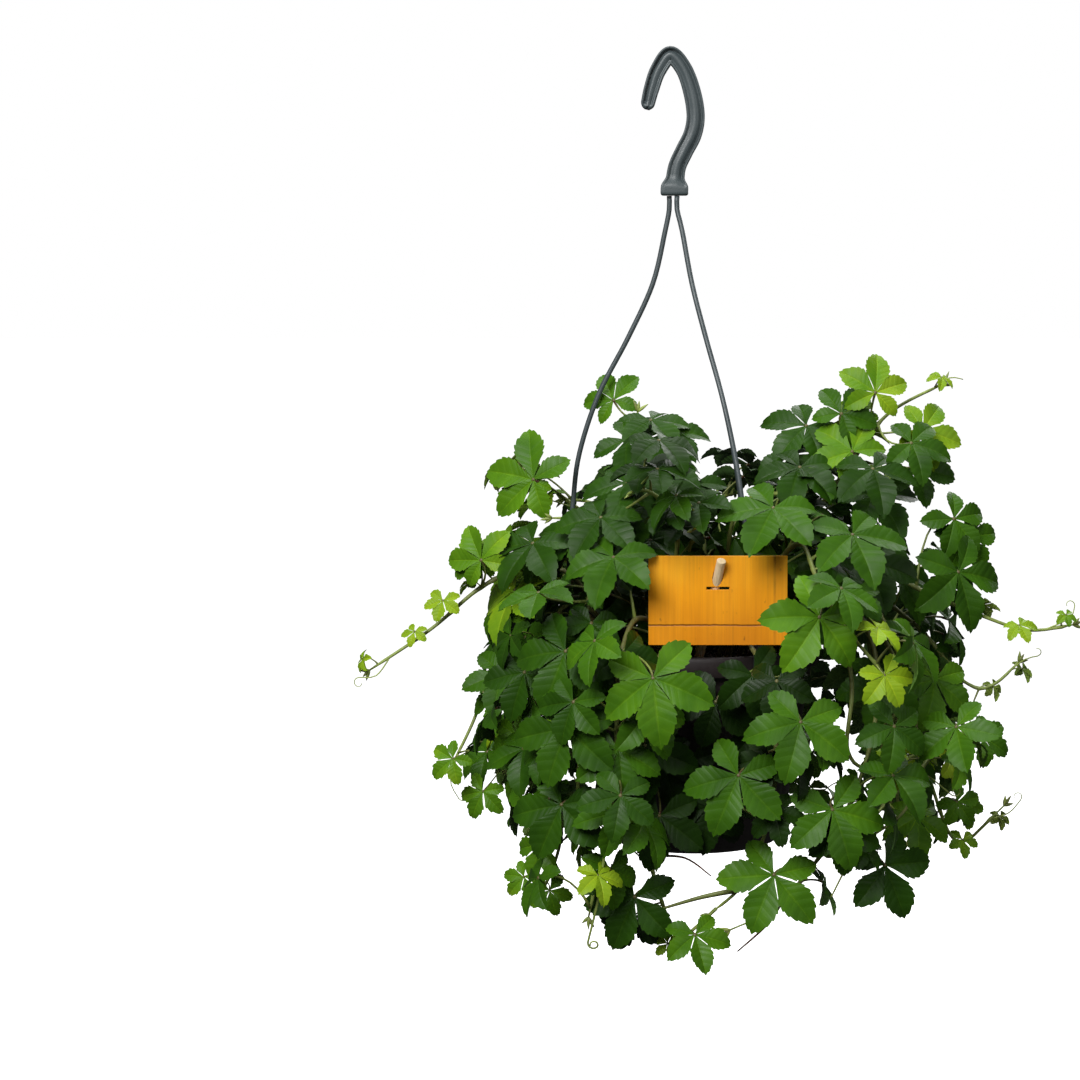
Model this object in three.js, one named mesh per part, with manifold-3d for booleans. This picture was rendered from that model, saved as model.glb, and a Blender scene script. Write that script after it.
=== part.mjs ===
import * as THREE from "three";
import { mergeVertices } from "three/addons/utils/BufferGeometryUtils.js";
import Module from "manifold-3d";

// A trailing vine with palmate leaves in a hanging pot.
// Millimetres, Z up, front towards -Y. The part hangs from the inside of the
// hook's crown, which is the origin. The plant is laid out in a frame of its
// own, whose origin is the centre of the pot's rim.

// Driving dimensions
const RIM_RADIUS = 75;
const BASE_RADIUS = 52;
const POT_HEIGHT = 120;
const POT_WALL = 1.6;
const RIM_BAND = 12;
const RIM_LIP = 2.4;
const RIM_DROP = 343; // from the hook's seat down to the rim
const POT_SHIFT = 15; // the pot's axis hangs this far to the right of the seat
const SOIL_TOP = -12;
const GAP = 0.3; // between pieces that touch
const HOOK_DEPTH = 8;
const HOOK_FLANGE = 1.9;
const HOOK_WEB = 3.4;
const STRAND_RADIUS = 1.5;
const BOARD = { width: 79, height: 51, thick: 2, x: 13, y: -84, z: 34.5 };
const SLIT = { width: 13, height: 1.6 };
const STICK_RADIUS = 2.7;
const STICK_FOOT = [-8, -26, -52];
const STICK_TOP = [15, -90.5, 58];
const STEM_RADIUS = 1.9;
const PETIOLE_RADIUS = 0.7;
const BLADE_THICKNESS = 2; // at the hub, from where it tapers to the rim
const MOST_LEAVES = 91;
const MOST_ROUNDS = 16;
const ROUND_STEP = 5; // rounds are taken this far apart, so that leaves spread along a stem

const wasm = await Module();
wasm.setup();

const material = (color, roughness) =>
  new THREE.MeshStandardMaterial({ color, roughness, metalness: 0 });
const PLASTIC = material(0x3f4d4f, 0.45);
const POT_PLASTIC = material(0x17120f, 0.5);
const SOIL_BROWN = material(0x2b1d13, 0.95);
const BOARD_WOOD = material(0xd78a1f, 0.6);
const STICK_WOOD = material(0xd9b98a, 0.7);
const LEAF_GREEN = material(0x2f6b24, 0.55);

// Closed mesh to solid and back
function solidOf(geometry) {
  const bare = geometry.index ? geometry.toNonIndexed() : geometry.clone();
  bare.deleteAttribute("normal");
  bare.deleteAttribute("uv");
  const merged = mergeVertices(bare, 1e-4);
  return new wasm.Manifold(
    new wasm.Mesh({
      numProp: 3,
      vertProperties: merged.attributes.position.array,
      triVerts: new Uint32Array(merged.index.array),
    }),
  );
}

function meshOf(name, solid, look) {
  const { numProp, vertProperties, triVerts } = solid.getMesh();
  const positions = new Float32Array((vertProperties.length / numProp) * 3);
  for (let i = 0; i < positions.length / 3; i++) {
    positions.set(vertProperties.subarray(i * numProp, i * numProp + 3), i * 3);
  }
  const geometry = new THREE.BufferGeometry();
  geometry.setAttribute("position", new THREE.BufferAttribute(positions, 3));
  geometry.setIndex(new THREE.BufferAttribute(new Uint32Array(triVerts), 1));
  geometry.computeVertexNormals();
  const mesh = new THREE.Mesh(geometry, look);
  mesh.name = name;
  return mesh;
}

const vector = (point) => new THREE.Vector3(...point);

// A curve whose even steps are the very points that it is made from
class StemCurve extends THREE.CatmullRomCurve3 {
  getSpacedPoints() {
    return this.points;
  }
}

function tube(curve, radius, sides, steps) {
  const ring = [];
  for (let i = 0; i < sides; i++) {
    const angle = (2 * Math.PI * i) / sides;
    ring.push(new THREE.Vector2(radius * Math.cos(angle), radius * Math.sin(angle)));
  }
  return solidOf(
    new THREE.ExtrudeGeometry(new THREE.Shape(ring), {
      steps,
      bevelEnabled: false,
      extrudePath: curve,
    }),
  );
}

// Rod with round ends square to its axis, between two points
function rod(from, to, radius, sides) {
  const a = vector(from);
  const b = vector(to);
  const along = b.clone().sub(a);
  const geometry = new THREE.CylinderGeometry(radius, radius, along.length(), sides);
  geometry.applyQuaternion(
    new THREE.Quaternion().setFromUnitVectors(
      new THREE.Vector3(0, 1, 0),
      along.clone().normalize(),
    ),
  );
  geometry.translate(...a.add(b).multiplyScalar(0.5).toArray());
  return solidOf(geometry);
}

function block(width, depth, height, x, y, z) {
  return solidOf(new THREE.BoxGeometry(width, depth, height).translate(x, y, z));
}

function lathe(profile, sides) {
  const points = profile.map(([r, z]) => new THREE.Vector2(r, z));
  const geometry = new THREE.LatheGeometry(points, sides);
  geometry.rotateX(Math.PI / 2);
  return solidOf(geometry);
}

// Pot: tapered wall, rim band and lip, flat base
const POT_SIDES = 40;
const wallRadius = (z) =>
  BASE_RADIUS + (RIM_RADIUS - RIM_LIP - BASE_RADIUS) * (1 + z / POT_HEIGHT);

function pot() {
  return lathe(
    [
      [0, -POT_HEIGHT],
      [BASE_RADIUS - 3, -POT_HEIGHT],
      [wallRadius(3 - POT_HEIGHT), 3 - POT_HEIGHT],
      [wallRadius(-RIM_BAND), -RIM_BAND],
      [RIM_RADIUS, -RIM_BAND],
      [RIM_RADIUS, 0],
      [RIM_RADIUS - RIM_LIP - POT_WALL, 0],
      [wallRadius(-RIM_BAND) - POT_WALL, -RIM_BAND],
      [wallRadius(3 - POT_HEIGHT) - POT_WALL, 3 - POT_HEIGHT],
      [0, 3 - POT_HEIGHT],
    ],
    POT_SIDES,
  );
}

// Soil: fills the pot, a low dome on top, one plain hole for each stem and the stick
const SOIL_CLEAR = 0.5;
const HOLE_RADIUS = 3.1;
const HOLE_DEPTH = 8;
const ROOT_DEPTH = 6;

function soil(roots) {
  const low = 3 - POT_HEIGHT + SOIL_CLEAR;
  const inner = (z) => wallRadius(z) - POT_WALL - SOIL_CLEAR;
  let body = lathe(
    [
      [0, low],
      [inner(low), low],
      [inner(SOIL_TOP - 2), SOIL_TOP - 2],
      [0, SOIL_TOP],
    ],
    POT_SIDES,
  );
  for (const [x, y] of roots) {
    const hole = new THREE.CylinderGeometry(
      HOLE_RADIUS,
      HOLE_RADIUS,
      HOLE_DEPTH + 10,
      4,
    ).rotateX(Math.PI / 2);
    hole.translate(x, y, SOIL_TOP + 5 - HOLE_DEPTH / 2);
    body = body.subtract(solidOf(hole));
  }
  return body.subtract(rod(STICK_FOOT, STICK_TOP, STICK_RADIUS + GAP, 12));
}

// Hook: an S-shaped web between two flanges, with a flared foot.
// Each row is a point of its centre line and its half width there.
const HOOK_LINE = [
  [-12.8, -22.5, 4.1],
  [-10.6, -14, 4.5],
  [-6.8, -3.5, 4.7],
  [0.4, 5.4, 5.0],
  [8.2, -2.5, 4.9],
  [13.2, -16, 5.2],
  [15.4, -30, 5.4],
  [13.6, -41, 5.4],
  [8.6, -51, 5.3],
  [4.2, -61, 5.3],
  [2.8, -74, 5.8],
];
const HOOK_FOOT = { x: 2.8, top: -72, bottom: -77, width: 16.4, depth: 11 };
const HOOK_STEPS = 26;

function hookOutline(inset) {
  const centre = new THREE.SplineCurve(HOOK_LINE.map(([x, z]) => new THREE.Vector2(x, z)));
  const widths = new THREE.SplineCurve(HOOK_LINE.map(([, , w], i) => new THREE.Vector2(i, w)));
  const left = [];
  const right = [];
  for (let i = 0; i <= HOOK_STEPS; i++) {
    const t = i / HOOK_STEPS;
    const point = centre.getPoint(t);
    const tangent = centre.getTangent(t);
    const half = widths.getPoint(t).y - inset;
    left.push(new THREE.Vector2(point.x - tangent.y * half, point.y + tangent.x * half));
    right.push(new THREE.Vector2(point.x + tangent.y * half, point.y - tangent.x * half));
  }
  const tip = HOOK_LINE[0];
  const drop = tip[2] - inset;
  const tangent = centre.getTangent(0);
  const end = new THREE.Vector2(tip[0] - tangent.x * drop, tip[1] - tangent.y * drop);
  return new THREE.Shape([end, ...left, ...right.reverse()]);
}

function slab(shape, depth, y) {
  const geometry = new THREE.ExtrudeGeometry(shape, { depth, bevelEnabled: false });
  geometry.rotateX(Math.PI / 2).translate(0, y + depth / 2, 0);
  return solidOf(geometry);
}

function hook() {
  const recess = (HOOK_DEPTH - HOOK_WEB) / 2;
  const grooveY = (HOOK_WEB + recess) / 2;
  const groove = hookOutline(HOOK_FLANGE);
  const foot = HOOK_FOOT;
  return slab(hookOutline(0), HOOK_DEPTH, 0)
    .subtract(slab(groove, recess + 0.02, grooveY + 0.01))
    .subtract(slab(groove, recess + 0.02, -grooveY - 0.01))
    .add(
      block(
        foot.width,
        foot.depth,
        foot.top - foot.bottom,
        foot.x,
        0,
        (foot.top + foot.bottom) / 2,
      ),
    );
}

// Strands: they leave the foot's underside close together and spread to the rim.
// Each row is a height above the rim and the share of the spread reached there.
const STRAND_SPREAD = [
  [245, 0.04],
  [214, 0.16],
  [182, 0.4],
  [148, 0.69],
  [113, 0.88],
  [83, 0.945],
  [40, 0.99],
  [6, 1],
];
const STRANDS = [
  { name: "strand_left", azimuth: 180, bow: 1 },
  { name: "strand_front_right", azimuth: -60, bow: 0.4 },
  { name: "strand_rear_right", azimuth: 60, bow: 0.4 },
];
const STRAND_SIDES = 6;
const STRAND_STEPS = 22;
const STRAND_START = 3.1; // radius of the ring of strands under the foot
const CLIP = { width: 9, thick: 2.4, top: 7, bottom: -15.5, lip: 2.2 };
const CLIP_RADIUS = RIM_RADIUS + GAP + CLIP.thick / 2;

function strandPoints({ azimuth, bow }) {
  const turn = (azimuth * Math.PI) / 180;
  const footX = HOOK_FOOT.x - POT_SHIFT;
  const startZ = RIM_DROP + HOOK_FOOT.bottom - GAP;
  const start = [footX + STRAND_START * Math.cos(turn), STRAND_START * Math.sin(turn)];
  const end = [CLIP_RADIUS * Math.cos(turn), CLIP_RADIUS * Math.sin(turn)];
  const points = [
    [...start, startZ],
    [...start, startZ - 8],
  ];
  for (const [z, share] of STRAND_SPREAD) {
    const straight = (startZ - z) / startZ;
    const s = straight + (share - straight) * bow;
    points.push([start[0] + (end[0] - start[0]) * s, start[1] + (end[1] - start[1]) * s, z]);
  }
  return points;
}

function strand(rule) {
  const upright = (CLIP.top + CLIP.bottom) / 2;
  const lipDepth = CLIP.thick + CLIP.lip;
  const clip = block(CLIP.thick, CLIP.width, CLIP.top - CLIP.bottom, CLIP_RADIUS, 0, upright)
    .add(
      block(
        lipDepth,
        CLIP.width,
        RIM_LIP,
        CLIP_RADIUS + CLIP.thick / 2 - lipDepth / 2,
        0,
        CLIP.bottom + RIM_LIP / 2,
      ),
    )
    .rotate([0, 0, rule.azimuth]);
  const curve = new THREE.CatmullRomCurve3(strandPoints(rule).map(vector));
  return tube(curve, STRAND_RADIUS, STRAND_SIDES, STRAND_STEPS).add(clip);
}

// Board with the slit, and the stick that comes forward through it
function board() {
  const { width, height, thick, x, y, z } = BOARD;
  const share = (y - STICK_FOOT[1]) / (STICK_TOP[1] - STICK_FOOT[1]);
  const crossing = STICK_FOOT[2] + (STICK_TOP[2] - STICK_FOOT[2]) * share;
  const slitZ = crossing - 2 * STICK_RADIUS;
  return block(width, thick, height, x, y, z)
    .subtract(rod(STICK_FOOT, STICK_TOP, STICK_RADIUS + GAP, 12))
    .subtract(block(SLIT.width, 2 * thick, SLIT.height, x, y, slitZ));
}

// Random draws, the same on every run
const SEED = 20117;
let drawn = SEED;

function draw(low, high) {
  drawn = (1664525 * drawn + 1013904223) % 4294967296;
  return low + ((high - low) * drawn) / 4294967296;
}

// Plain vector sums on [x, y, z]
const add = (a, b, s = 1) => [a[0] + b[0] * s, a[1] + b[1] * s, a[2] + b[2] * s];
const dot = (a, b) => a[0] * b[0] + a[1] * b[1] + a[2] * b[2];
const cross = (a, b) => [
  a[1] * b[2] - a[2] * b[1],
  a[2] * b[0] - a[0] * b[2],
  a[0] * b[1] - a[1] * b[0],
];
const length = (a) => Math.sqrt(dot(a, a));
const unit = (a) => {
  const size = length(a);
  return [a[0] / size, a[1] / size, a[2] / size];
};
const radians = (degrees) => (degrees * Math.PI) / 180;

// Smooth line through hand-set points, as a list of points about one step apart
const LINE_STEP = 8;

function smoothLine(points) {
  const out = [points[0]];
  for (let i = 0; i + 1 < points.length; i++) {
    const a = points[Math.max(i - 1, 0)];
    const b = points[i];
    const c = points[i + 1];
    const d = points[Math.min(i + 2, points.length - 1)];
    const count = Math.max(1, Math.round(length(add(c, b, -1)) / LINE_STEP));
    for (let k = 1; k <= count; k++) {
      const t = k / count;
      out.push(
        [0, 1, 2].map(
          (n) =>
            b[n] +
            0.5 *
              t *
              (c[n] - a[n] +
                t * (2 * a[n] - 5 * b[n] + 4 * c[n] - d[n] + t * (3 * (b[n] - c[n]) + d[n] - a[n]))),
        ),
      );
    }
  }
  return out;
}

// Long stems placed by hand: the root on the soil, then the points that the stem passes.
// From the share called young, a stem bears small new leaves.
const LONG_STEMS = [
  {
    root: [-14, -34],
    passes: [
      [-20, -60, 14], [-34, -88, 24], [-42, -112, 2], [-44, -120, -42],
      [-48, -118, -84], [-60, -110, -142],
    ],
  },
  {
    root: [-12, -48],
    passes: [
      [-14, -61, 6], [-18, -82, 6], [-26, -98, -14], [-30, -98, -60],
      [-26, -98, -110], [-12, -94, -158],
    ],
  },
  {
    root: [24, -44],
    passes: [
      [28, -60, 6], [33, -82, 6], [44, -106, -16], [44, -116, -70],
      [30, -112, -118], [8, -104, -142],
    ],
  },
  {
    root: [38, -34],
    passes: [
      [58, -48, 20], [78, -76, 34], [88, -104, -8], [86, -108, -48],
      [104, -102, -58], [152, -80, -44],
    ],
  },
  {
    root: [30, -20],
    passes: [
      [52, -40, 26], [72, -66, 44], [98, -88, 18], [102, -98, -30],
      [84, -104, -86], [50, -104, -134], [20, -100, -152],
    ],
  },
  {
    root: [16, -36],
    passes: [
      [44, -52, 46], [60, -76, 66], [68, -110, 50], [82, -128, 26],
      [104, -128, 0],
    ],
  },
  {
    root: [-30, -6],
    passes: [
      [-50, -14, 30], [-72, -28, 52], [-96, -36, 50], [-125, -42, 37],
      [-154, -46, 13], [-190, -48, -11],
    ],
    young: 0.58,
  },
  {
    root: [34, -6],
    passes: [
      [62, -20, 36], [98, -38, 50], [136, -50, 34], [168, -52, 21],
      [194, -52, 13], [220, -50, 16],
    ],
    young: 0.68,
  },
  {
    root: [22, 8],
    passes: [
      [36, 0, 30], [60, -14, 62], [90, -14, 104], [114, -8, 136],
      [148, 2, 154],
    ],
    young: 0.6,
  },
  {
    root: [-18, 10],
    passes: [
      [-30, 6, 24], [-42, -5, 73], [-40, -10, 116], [-34, -12, 138],
    ],
  },
  {
    root: [-26, 20],
    passes: [
      [-38, 24, 26], [-60, 18, 66], [-78, 10, 84], [-104, 2, 104],
    ],
  },
  {
    root: [40, 14],
    passes: [
      [80, 14, 38], [130, -10, 12], [160, -20, -22], [176, -24, -24],
      [192, -24, -10],
    ],
    young: 0.75,
  },
  {
    root: [30, 32],
    passes: [
      [76, 32, 38], [122, 6, -14], [140, -18, -80], [156, -24, -118],
      [176, -26, -104], [184, -26, -96],
    ],
    young: 0.8,
  },
  {
    root: [-36, 22],
    passes: [
      [-80, 22, 34], [-116, 2, -8], [-134, -14, -50], [-144, -18, -70],
    ],
  },
];

// Stems made by rule: trailing ones round the sides and back, upright ones over the middle
const TRAILING = { count: 16, from: -38, to: 228 };
const UPRIGHT = { count: 9, from: -80, to: 280 };

// Beads stand for what is already there, in a grid of cells. Each has an owner: a stem by
// its number, or one of these.
const OWNER = { strand: -1, nobody: -2, blade: -3, stalk: -4 };
const CELL = 7;
const cells = new Map();
const STRIDE = 800; // more cells than the plant has in any direction
const cellKey = (i, j, k) =>
  i + STRIDE / 2 + STRIDE * (j + STRIDE / 2 + STRIDE * (k + STRIDE / 2));

function keep(point, radius, owner) {
  const key = cellKey(
    Math.floor(point[0] / CELL),
    Math.floor(point[1] / CELL),
    Math.floor(point[2] / CELL),
  );
  if (!cells.has(key)) cells.set(key, []);
  cells.get(key).push([point[0], point[1], point[2], radius, owner]);
}

function touches(point, radius, except) {
  const i = Math.floor(point[0] / CELL);
  const j = Math.floor(point[1] / CELL);
  const k = Math.floor(point[2] / CELL);
  for (let a = i - 1; a <= i + 1; a++) {
    for (let b = j - 1; b <= j + 1; b++) {
      for (let c = k - 1; c <= k + 1; c++) {
        for (const [x, y, z, r, owner] of cells.get(cellKey(a, b, c)) ?? []) {
          const reach = radius + r;
          const dx = x - point[0];
          const dy = y - point[1];
          const dz = z - point[2];
          if (owner !== except && dx * dx + dy * dy + dz * dz < reach * reach) return true;
        }
      }
    }
  }
  return false;
}

const LEAF_BEAD = 2.8;
const STEM_BEAD = 2.2;
const PETIOLE_BEAD = 1.2;
const STEM_BEAD_STEP = 3;

function between(a, b, spacing) {
  const count = Math.max(1, Math.ceil(length(add(b, a, -1)) / spacing));
  const out = [];
  for (let i = 0; i < count; i++) out.push(add(a, add(b, a, -1), i / count));
  return out;
}

const beadsAlong = (line, spacing) =>
  line.slice(1).flatMap((point, i) => between(line[i], point, spacing));

// The foliage stays within this outline, seen from the front: X and Z of its corners
const FRONT_OUTLINE = [
  [-142, -78], [-136, 0], [-136, 60], [-128, 100], [-108, 122], [-84, 104], [-72, 84], [-64, 140],
  [-34, 146], [2, 132], [24, 116], [44, 140], [92, 146], [124, 160], [158, 150], [162, 76],
  [174, 30], [178, -40], [172, -70], [158, -110], [140, -152], [86, -156], [26, -166], [-34, -166],
  [-66, -160], [-112, -134], [-126, -100],
];

function insideOutline(x, z) {
  let inside = false;
  let [xj, zj] = FRONT_OUTLINE.at(-1);
  for (const [xi, zi] of FRONT_OUTLINE) {
    if (zi > z !== zj > z && x < ((xj - xi) * (z - zi)) / (zj - zi) + xi) inside = !inside;
    [xj, zj] = [xi, zi];
  }
  return inside;
}

const strandLines = STRANDS.map(strandPoints);
const FREE_ABOVE = 84; // the strands are free of leaves in front above this height
const POT_CLEAR = 4;
const STICK_CLEAR = 7;
const STRAND_CLEAR = 1;
const STRAND_VIEW = 7; // half the width kept free in front of a strand
const BOARD_CLEAR = { across: 3, front: 5, overlap: -2, above: 1 };
const CLIP_BELOW = 6; // the strands' clips reach this far below the rim band
const POT_WINDOW = { x: 4, half: 15, top: -34 };

// Beads of foliage keep out of the pot and the column under it, the board and the view of
// it, the stick, and the view of the strands
function nearPot([x, y, z]) {
  const r = Math.sqrt(x * x + y * y);
  if (z < 3 && z > -POT_HEIGHT - POT_CLEAR) {
    const clip = z > -RIM_BAND - CLIP_BELOW ? RIM_RADIUS + CLIP.thick : 0;
    if (r < Math.max(wallRadius(z), clip) + POT_CLEAR) return true;
  }
  return z <= -POT_HEIGHT - POT_CLEAR && r < BASE_RADIUS + 2 * POT_CLEAR;
}

function nearBoard([x, y, z]) {
  const across = Math.abs(x - BOARD.x) - BOARD.width / 2;
  const up = Math.abs(z - BOARD.z) - BOARD.height / 2;
  const clear = BOARD_CLEAR;
  if (Math.abs(y - BOARD.y) < clear.front && across < clear.across && up < clear.across) return true;
  return y < BOARD.y && across < clear.overlap && up < clear.above;
}

function nearStick([x, y, z]) {
  const share = (z - STICK_FOOT[2]) / (STICK_TOP[2] - STICK_FOOT[2]);
  if (share <= 0 || share >= 1.1) return false;
  const stickX = STICK_FOOT[0] + (STICK_TOP[0] - STICK_FOOT[0]) * share;
  const stickY = STICK_FOOT[1] + (STICK_TOP[1] - STICK_FOOT[1]) * share;
  return Math.abs(x - stickX) < STICK_CLEAR && Math.abs(y - stickY) < STICK_CLEAR;
}

function hidesStrand([x, y, z]) {
  if (z <= FREE_ABOVE) return false;
  return strandLines.some((line) =>
    line.slice(1).some((b, i) => {
      const a = line[i];
      if (a[2] < z || b[2] > z) return false;
      const t = (a[2] - z) / (a[2] - b[2]);
      const [strandX, strandY] = add(a, add(b, a, -1), t);
      return y < strandY && Math.abs(x - strandX) < STRAND_VIEW;
    }),
  );
}

const barred = (point) =>
  nearPot(point) || nearBoard(point) || nearStick(point) || hidesStrand(point);

const hidesPot = ([x, y, z]) =>
  y < 0 && Math.abs(x - POT_WINDOW.x) < POT_WINDOW.half && z < POT_WINDOW.top && z > -POT_HEIGHT;

// Stem: its line from under the soil to its tip. Its first beads, and any above the rim, may
// be inside the pot's bounds.
const stems = [];
const IN_POT = { beads: 6, above: 6 };

const collarOf = ([x, y]) => [x, y, SOIL_TOP + 2];

function addStem(root, passes, young) {
  const foot = [root[0], root[1], SOIL_TOP - ROOT_DEPTH];
  const line = [foot, ...smoothLine([collarOf(root), ...passes])];
  stems.push({ root, line, young, leaves: [] });
  for (const bead of beadsAlong(line, STEM_BEAD_STEP)) keep(bead, STEM_BEAD, stems.length - 1);
}

function ruleStem(root, passes) {
  const line = smoothLine([collarOf(root), ...passes]);
  const free = beadsAlong(line, STEM_BEAD_STEP).every(
    (bead, i) =>
      !touches(bead, STEM_BEAD, OWNER.nobody) &&
      (i < IN_POT.beads || bead[2] > IN_POT.above || !barred(bead)),
  );
  if (free) addStem(root, passes);
  return free;
}

const polar = (radius, azimuth, z) => [
  radius * Math.cos(radians(azimuth)),
  radius * Math.sin(radians(azimuth)),
  z,
];
const STEM_TRIES = 14;

function addTrailing() {
  for (let i = 0; i < TRAILING.count; i++) {
    const step = (TRAILING.to - TRAILING.from) / (TRAILING.count - 1);
    for (let k = 0; k < STEM_TRIES; k++) {
      const azimuth = TRAILING.from + step * i + draw(-6, 6);
      const root = polar(draw(34, 58), azimuth + draw(-8, 8), 0);
      const rise = draw(14, 48);
      const reach = draw(100, 120) + 24 * Math.max(0, Math.cos(radians(azimuth)));
      const end = draw(-150, -50);
      const sway = draw(-10, 10);
      const passes = [
        polar(70, azimuth, rise * 0.8),
        polar(88, azimuth, rise),
        polar(reach * 0.94, azimuth + sway * 0.3, rise * 0.3),
        polar(reach, azimuth + sway * 0.7, end * 0.4),
        polar(reach - 4, azimuth + sway, end * 0.75),
        polar(reach + 2, azimuth + sway * 0.5, end),
      ];
      if (ruleStem(root, passes)) break;
    }
  }
}

function addUpright() {
  for (let i = 0; i < UPRIGHT.count; i++) {
    const step = (UPRIGHT.to - UPRIGHT.from) / UPRIGHT.count;
    for (let k = 0; k < STEM_TRIES; k++) {
      const azimuth = UPRIGHT.from + step * i + draw(-12, 12);
      const root = polar(draw(8, 30), azimuth, 0);
      const rise = draw(72, 116);
      const reach = draw(46, 96);
      const passes = [
        polar(draw(26, 40), azimuth, rise * 0.35),
        polar(reach * 0.7, azimuth + draw(-8, 8), rise * 0.8),
        polar(reach, azimuth, rise),
        polar(reach + 22, azimuth + draw(-6, 6), rise + 2),
      ];
      if (ruleStem(root, passes)) break;
    }
  }
}

// Palmate leaf: five leaflets round a hub, each a wedge with teeth at its end.
// u runs along a leaflet's rib and v across it, as shares of its own length.
const LEAFLETS = [
  { turn: -126, size: 0.74 },
  { turn: -63, size: 0.93 },
  { turn: 0, size: 1 },
  { turn: 63, size: 0.93 },
  { turn: 126, size: 0.74 },
];
const TOOTH = [0.64, 0.29];
const CUT = [0.77, 0.18];
const CLEFT = 0.1; // the blade between two leaflets
const REAR = 0.08; // the blade behind the hub
const BEADS = [
  [0.02, 0], [0.16, 0], [0.3, -0.05], [0.3, 0.05], [0.45, -0.13], [0.45, 0], [0.45, 0.13],
  [0.6, -0.24], [0.6, -0.08], [0.6, 0.08], [0.6, 0.24], [0.76, -0.19], [0.76, -0.06],
  [0.76, 0.06], [0.76, 0.19], [0.9, -0.05], [0.9, 0.05], [1, 0],
];

// A leaf's frame: its hub, the way its middle leaflet points, its side and its normal
function leafFrame(hub, ahead, facing, size, fold, droop) {
  const normal = unit(facing);
  const forward = unit(add(ahead, normal, -dot(ahead, normal)));
  return { hub, normal, forward, side: cross(normal, forward), size, fold, droop };
}

function leafPoint(leaf, turn, size, u, v) {
  const own = leaf.size * size;
  const angle = radians(turn);
  const ahead = own * (u * Math.cos(angle) - v * Math.sin(angle));
  const aside = own * (u * Math.sin(angle) + v * Math.cos(angle));
  const lift = own * (leaf.fold * Math.abs(v) - leaf.droop * u * u);
  return add(add(add(leaf.hub, leaf.forward, ahead), leaf.side, aside), leaf.normal, lift);
}

// Petiole: leaves the stem, then turns up into the hub from behind the blade
function petiolePoint(leaf, base, t) {
  const reach = length(add(leaf.hub, base, -1));
  const bend = add(add(leaf.hub, leaf.normal, -0.34 * reach), leaf.forward, -0.34 * reach);
  const a = (1 - t) * (1 - t);
  const b = 2 * t * (1 - t);
  return add(add([base[0] * a, base[1] * a, base[2] * a], bend, b), leaf.hub, t * t);
}

function leafBeads(leaf) {
  return LEAFLETS.flatMap(({ turn, size }) =>
    BEADS.map(([u, v]) => leafPoint(leaf, turn, size, u, v)),
  );
}

function petioleBeads(leaf, base) {
  const reach = length(add(leaf.hub, base, -1));
  const count = Math.max(3, Math.ceil(reach / 2));
  const out = [];
  for (let i = 0; i < count; i++) {
    const t = i / count;
    if (t * reach > 4 && (1 - t) * reach > 3.5) out.push(petiolePoint(leaf, base, t));
  }
  return out;
}

// True where nothing is in the way of the leaf and its petiole
function hasRoom(stemIndex, blade, stalk, habit) {
  for (const bead of blade) {
    if (barred(bead) || touches(bead, LEAF_BEAD, OWNER.nobody)) return false;
    if (habit.inside && (hidesPot(bead) || !insideOutline(bead[0], bead[2]))) return false;
  }
  return stalk.every((bead) => !barred(bead) && !touches(bead, PETIOLE_BEAD, stemIndex));
}

function addLeaf(stemIndex, base, leaf, habit) {
  const blade = leafBeads(leaf);
  const stalk = petioleBeads(leaf, base);
  if (habit && !hasRoom(stemIndex, blade, stalk, habit)) return false;
  for (const bead of blade) keep(bead, LEAF_BEAD, OWNER.blade);
  for (const bead of stalk) keep(bead, PETIOLE_BEAD, OWNER.stalk);
  stems[stemIndex].leaves.push({ ...leaf, base });
  return true;
}

// Leaves along each stem: outward, facing out and up, their middle leaflet drooping
const LEAF_SPACING = 3; // line points between two leaves
const LEAF_TRIES = 20;
const LOWEST_LEAF = 4; // line points from the root to the first leaf
const CROWN_HEIGHT = 110; // leaves this high face up
const CROWN_RADIUS = 80; // nearer the middle, leaves may turn all the way round
const SIDE_SPAN = 75; // degrees to either side of straight out that a side leaf may turn
const GROWN = { size: [27, 37], reach: [16, 42], inside: true };
const YOUNG = { size: [10, 17], reach: [7, 15], inside: false };

function ruleLeaf(stemIndex, k, habit) {
  const { line } = stems[stemIndex];
  const base = line[k];
  const share = k / (line.length - 1);
  const height = Math.min(Math.max(base[2] / CROWN_HEIGHT, 0), 1);
  const radius = Math.sqrt(base[0] * base[0] + base[1] * base[1]);
  const span = SIDE_SPAN + (180 - SIDE_SPAN) * Math.max(0, 1 - radius / CROWN_RADIUS);
  for (let n = 0; n < LEAF_TRIES; n++) {
    const turn = draw(-span, span);
    const lift = draw(-0.1, 0.8) + 0.5 * height;
    const reach = draw(...habit.reach);
    const size = draw(...habit.size) * (1 - 0.25 * share * share);
    const sway = [draw(-0.4, 0.4), draw(-0.4, 0.4), draw(-0.3, 0.3)];
    const azimuth = Math.atan2(base[1], base[0]) + radians(turn);
    const out = [Math.cos(azimuth), Math.sin(azimuth), 0];
    const hub = add(base, unit([out[0], out[1], lift]), reach);
    const facing = [out[0] + sway[0], out[1] + sway[1], 0.5 + 1.6 * height + sway[2]];
    const ahead = [out[0] * 0.5 + sway[1], out[1] * 0.5 - sway[0], -1 + 0.5 * height];
    const leaf = leafFrame(hub, ahead, facing, size, draw(0.25, 0.5), draw(0.05, 0.3));
    if (addLeaf(stemIndex, base, leaf, habit)) return true;
  }
  return false;
}

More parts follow.
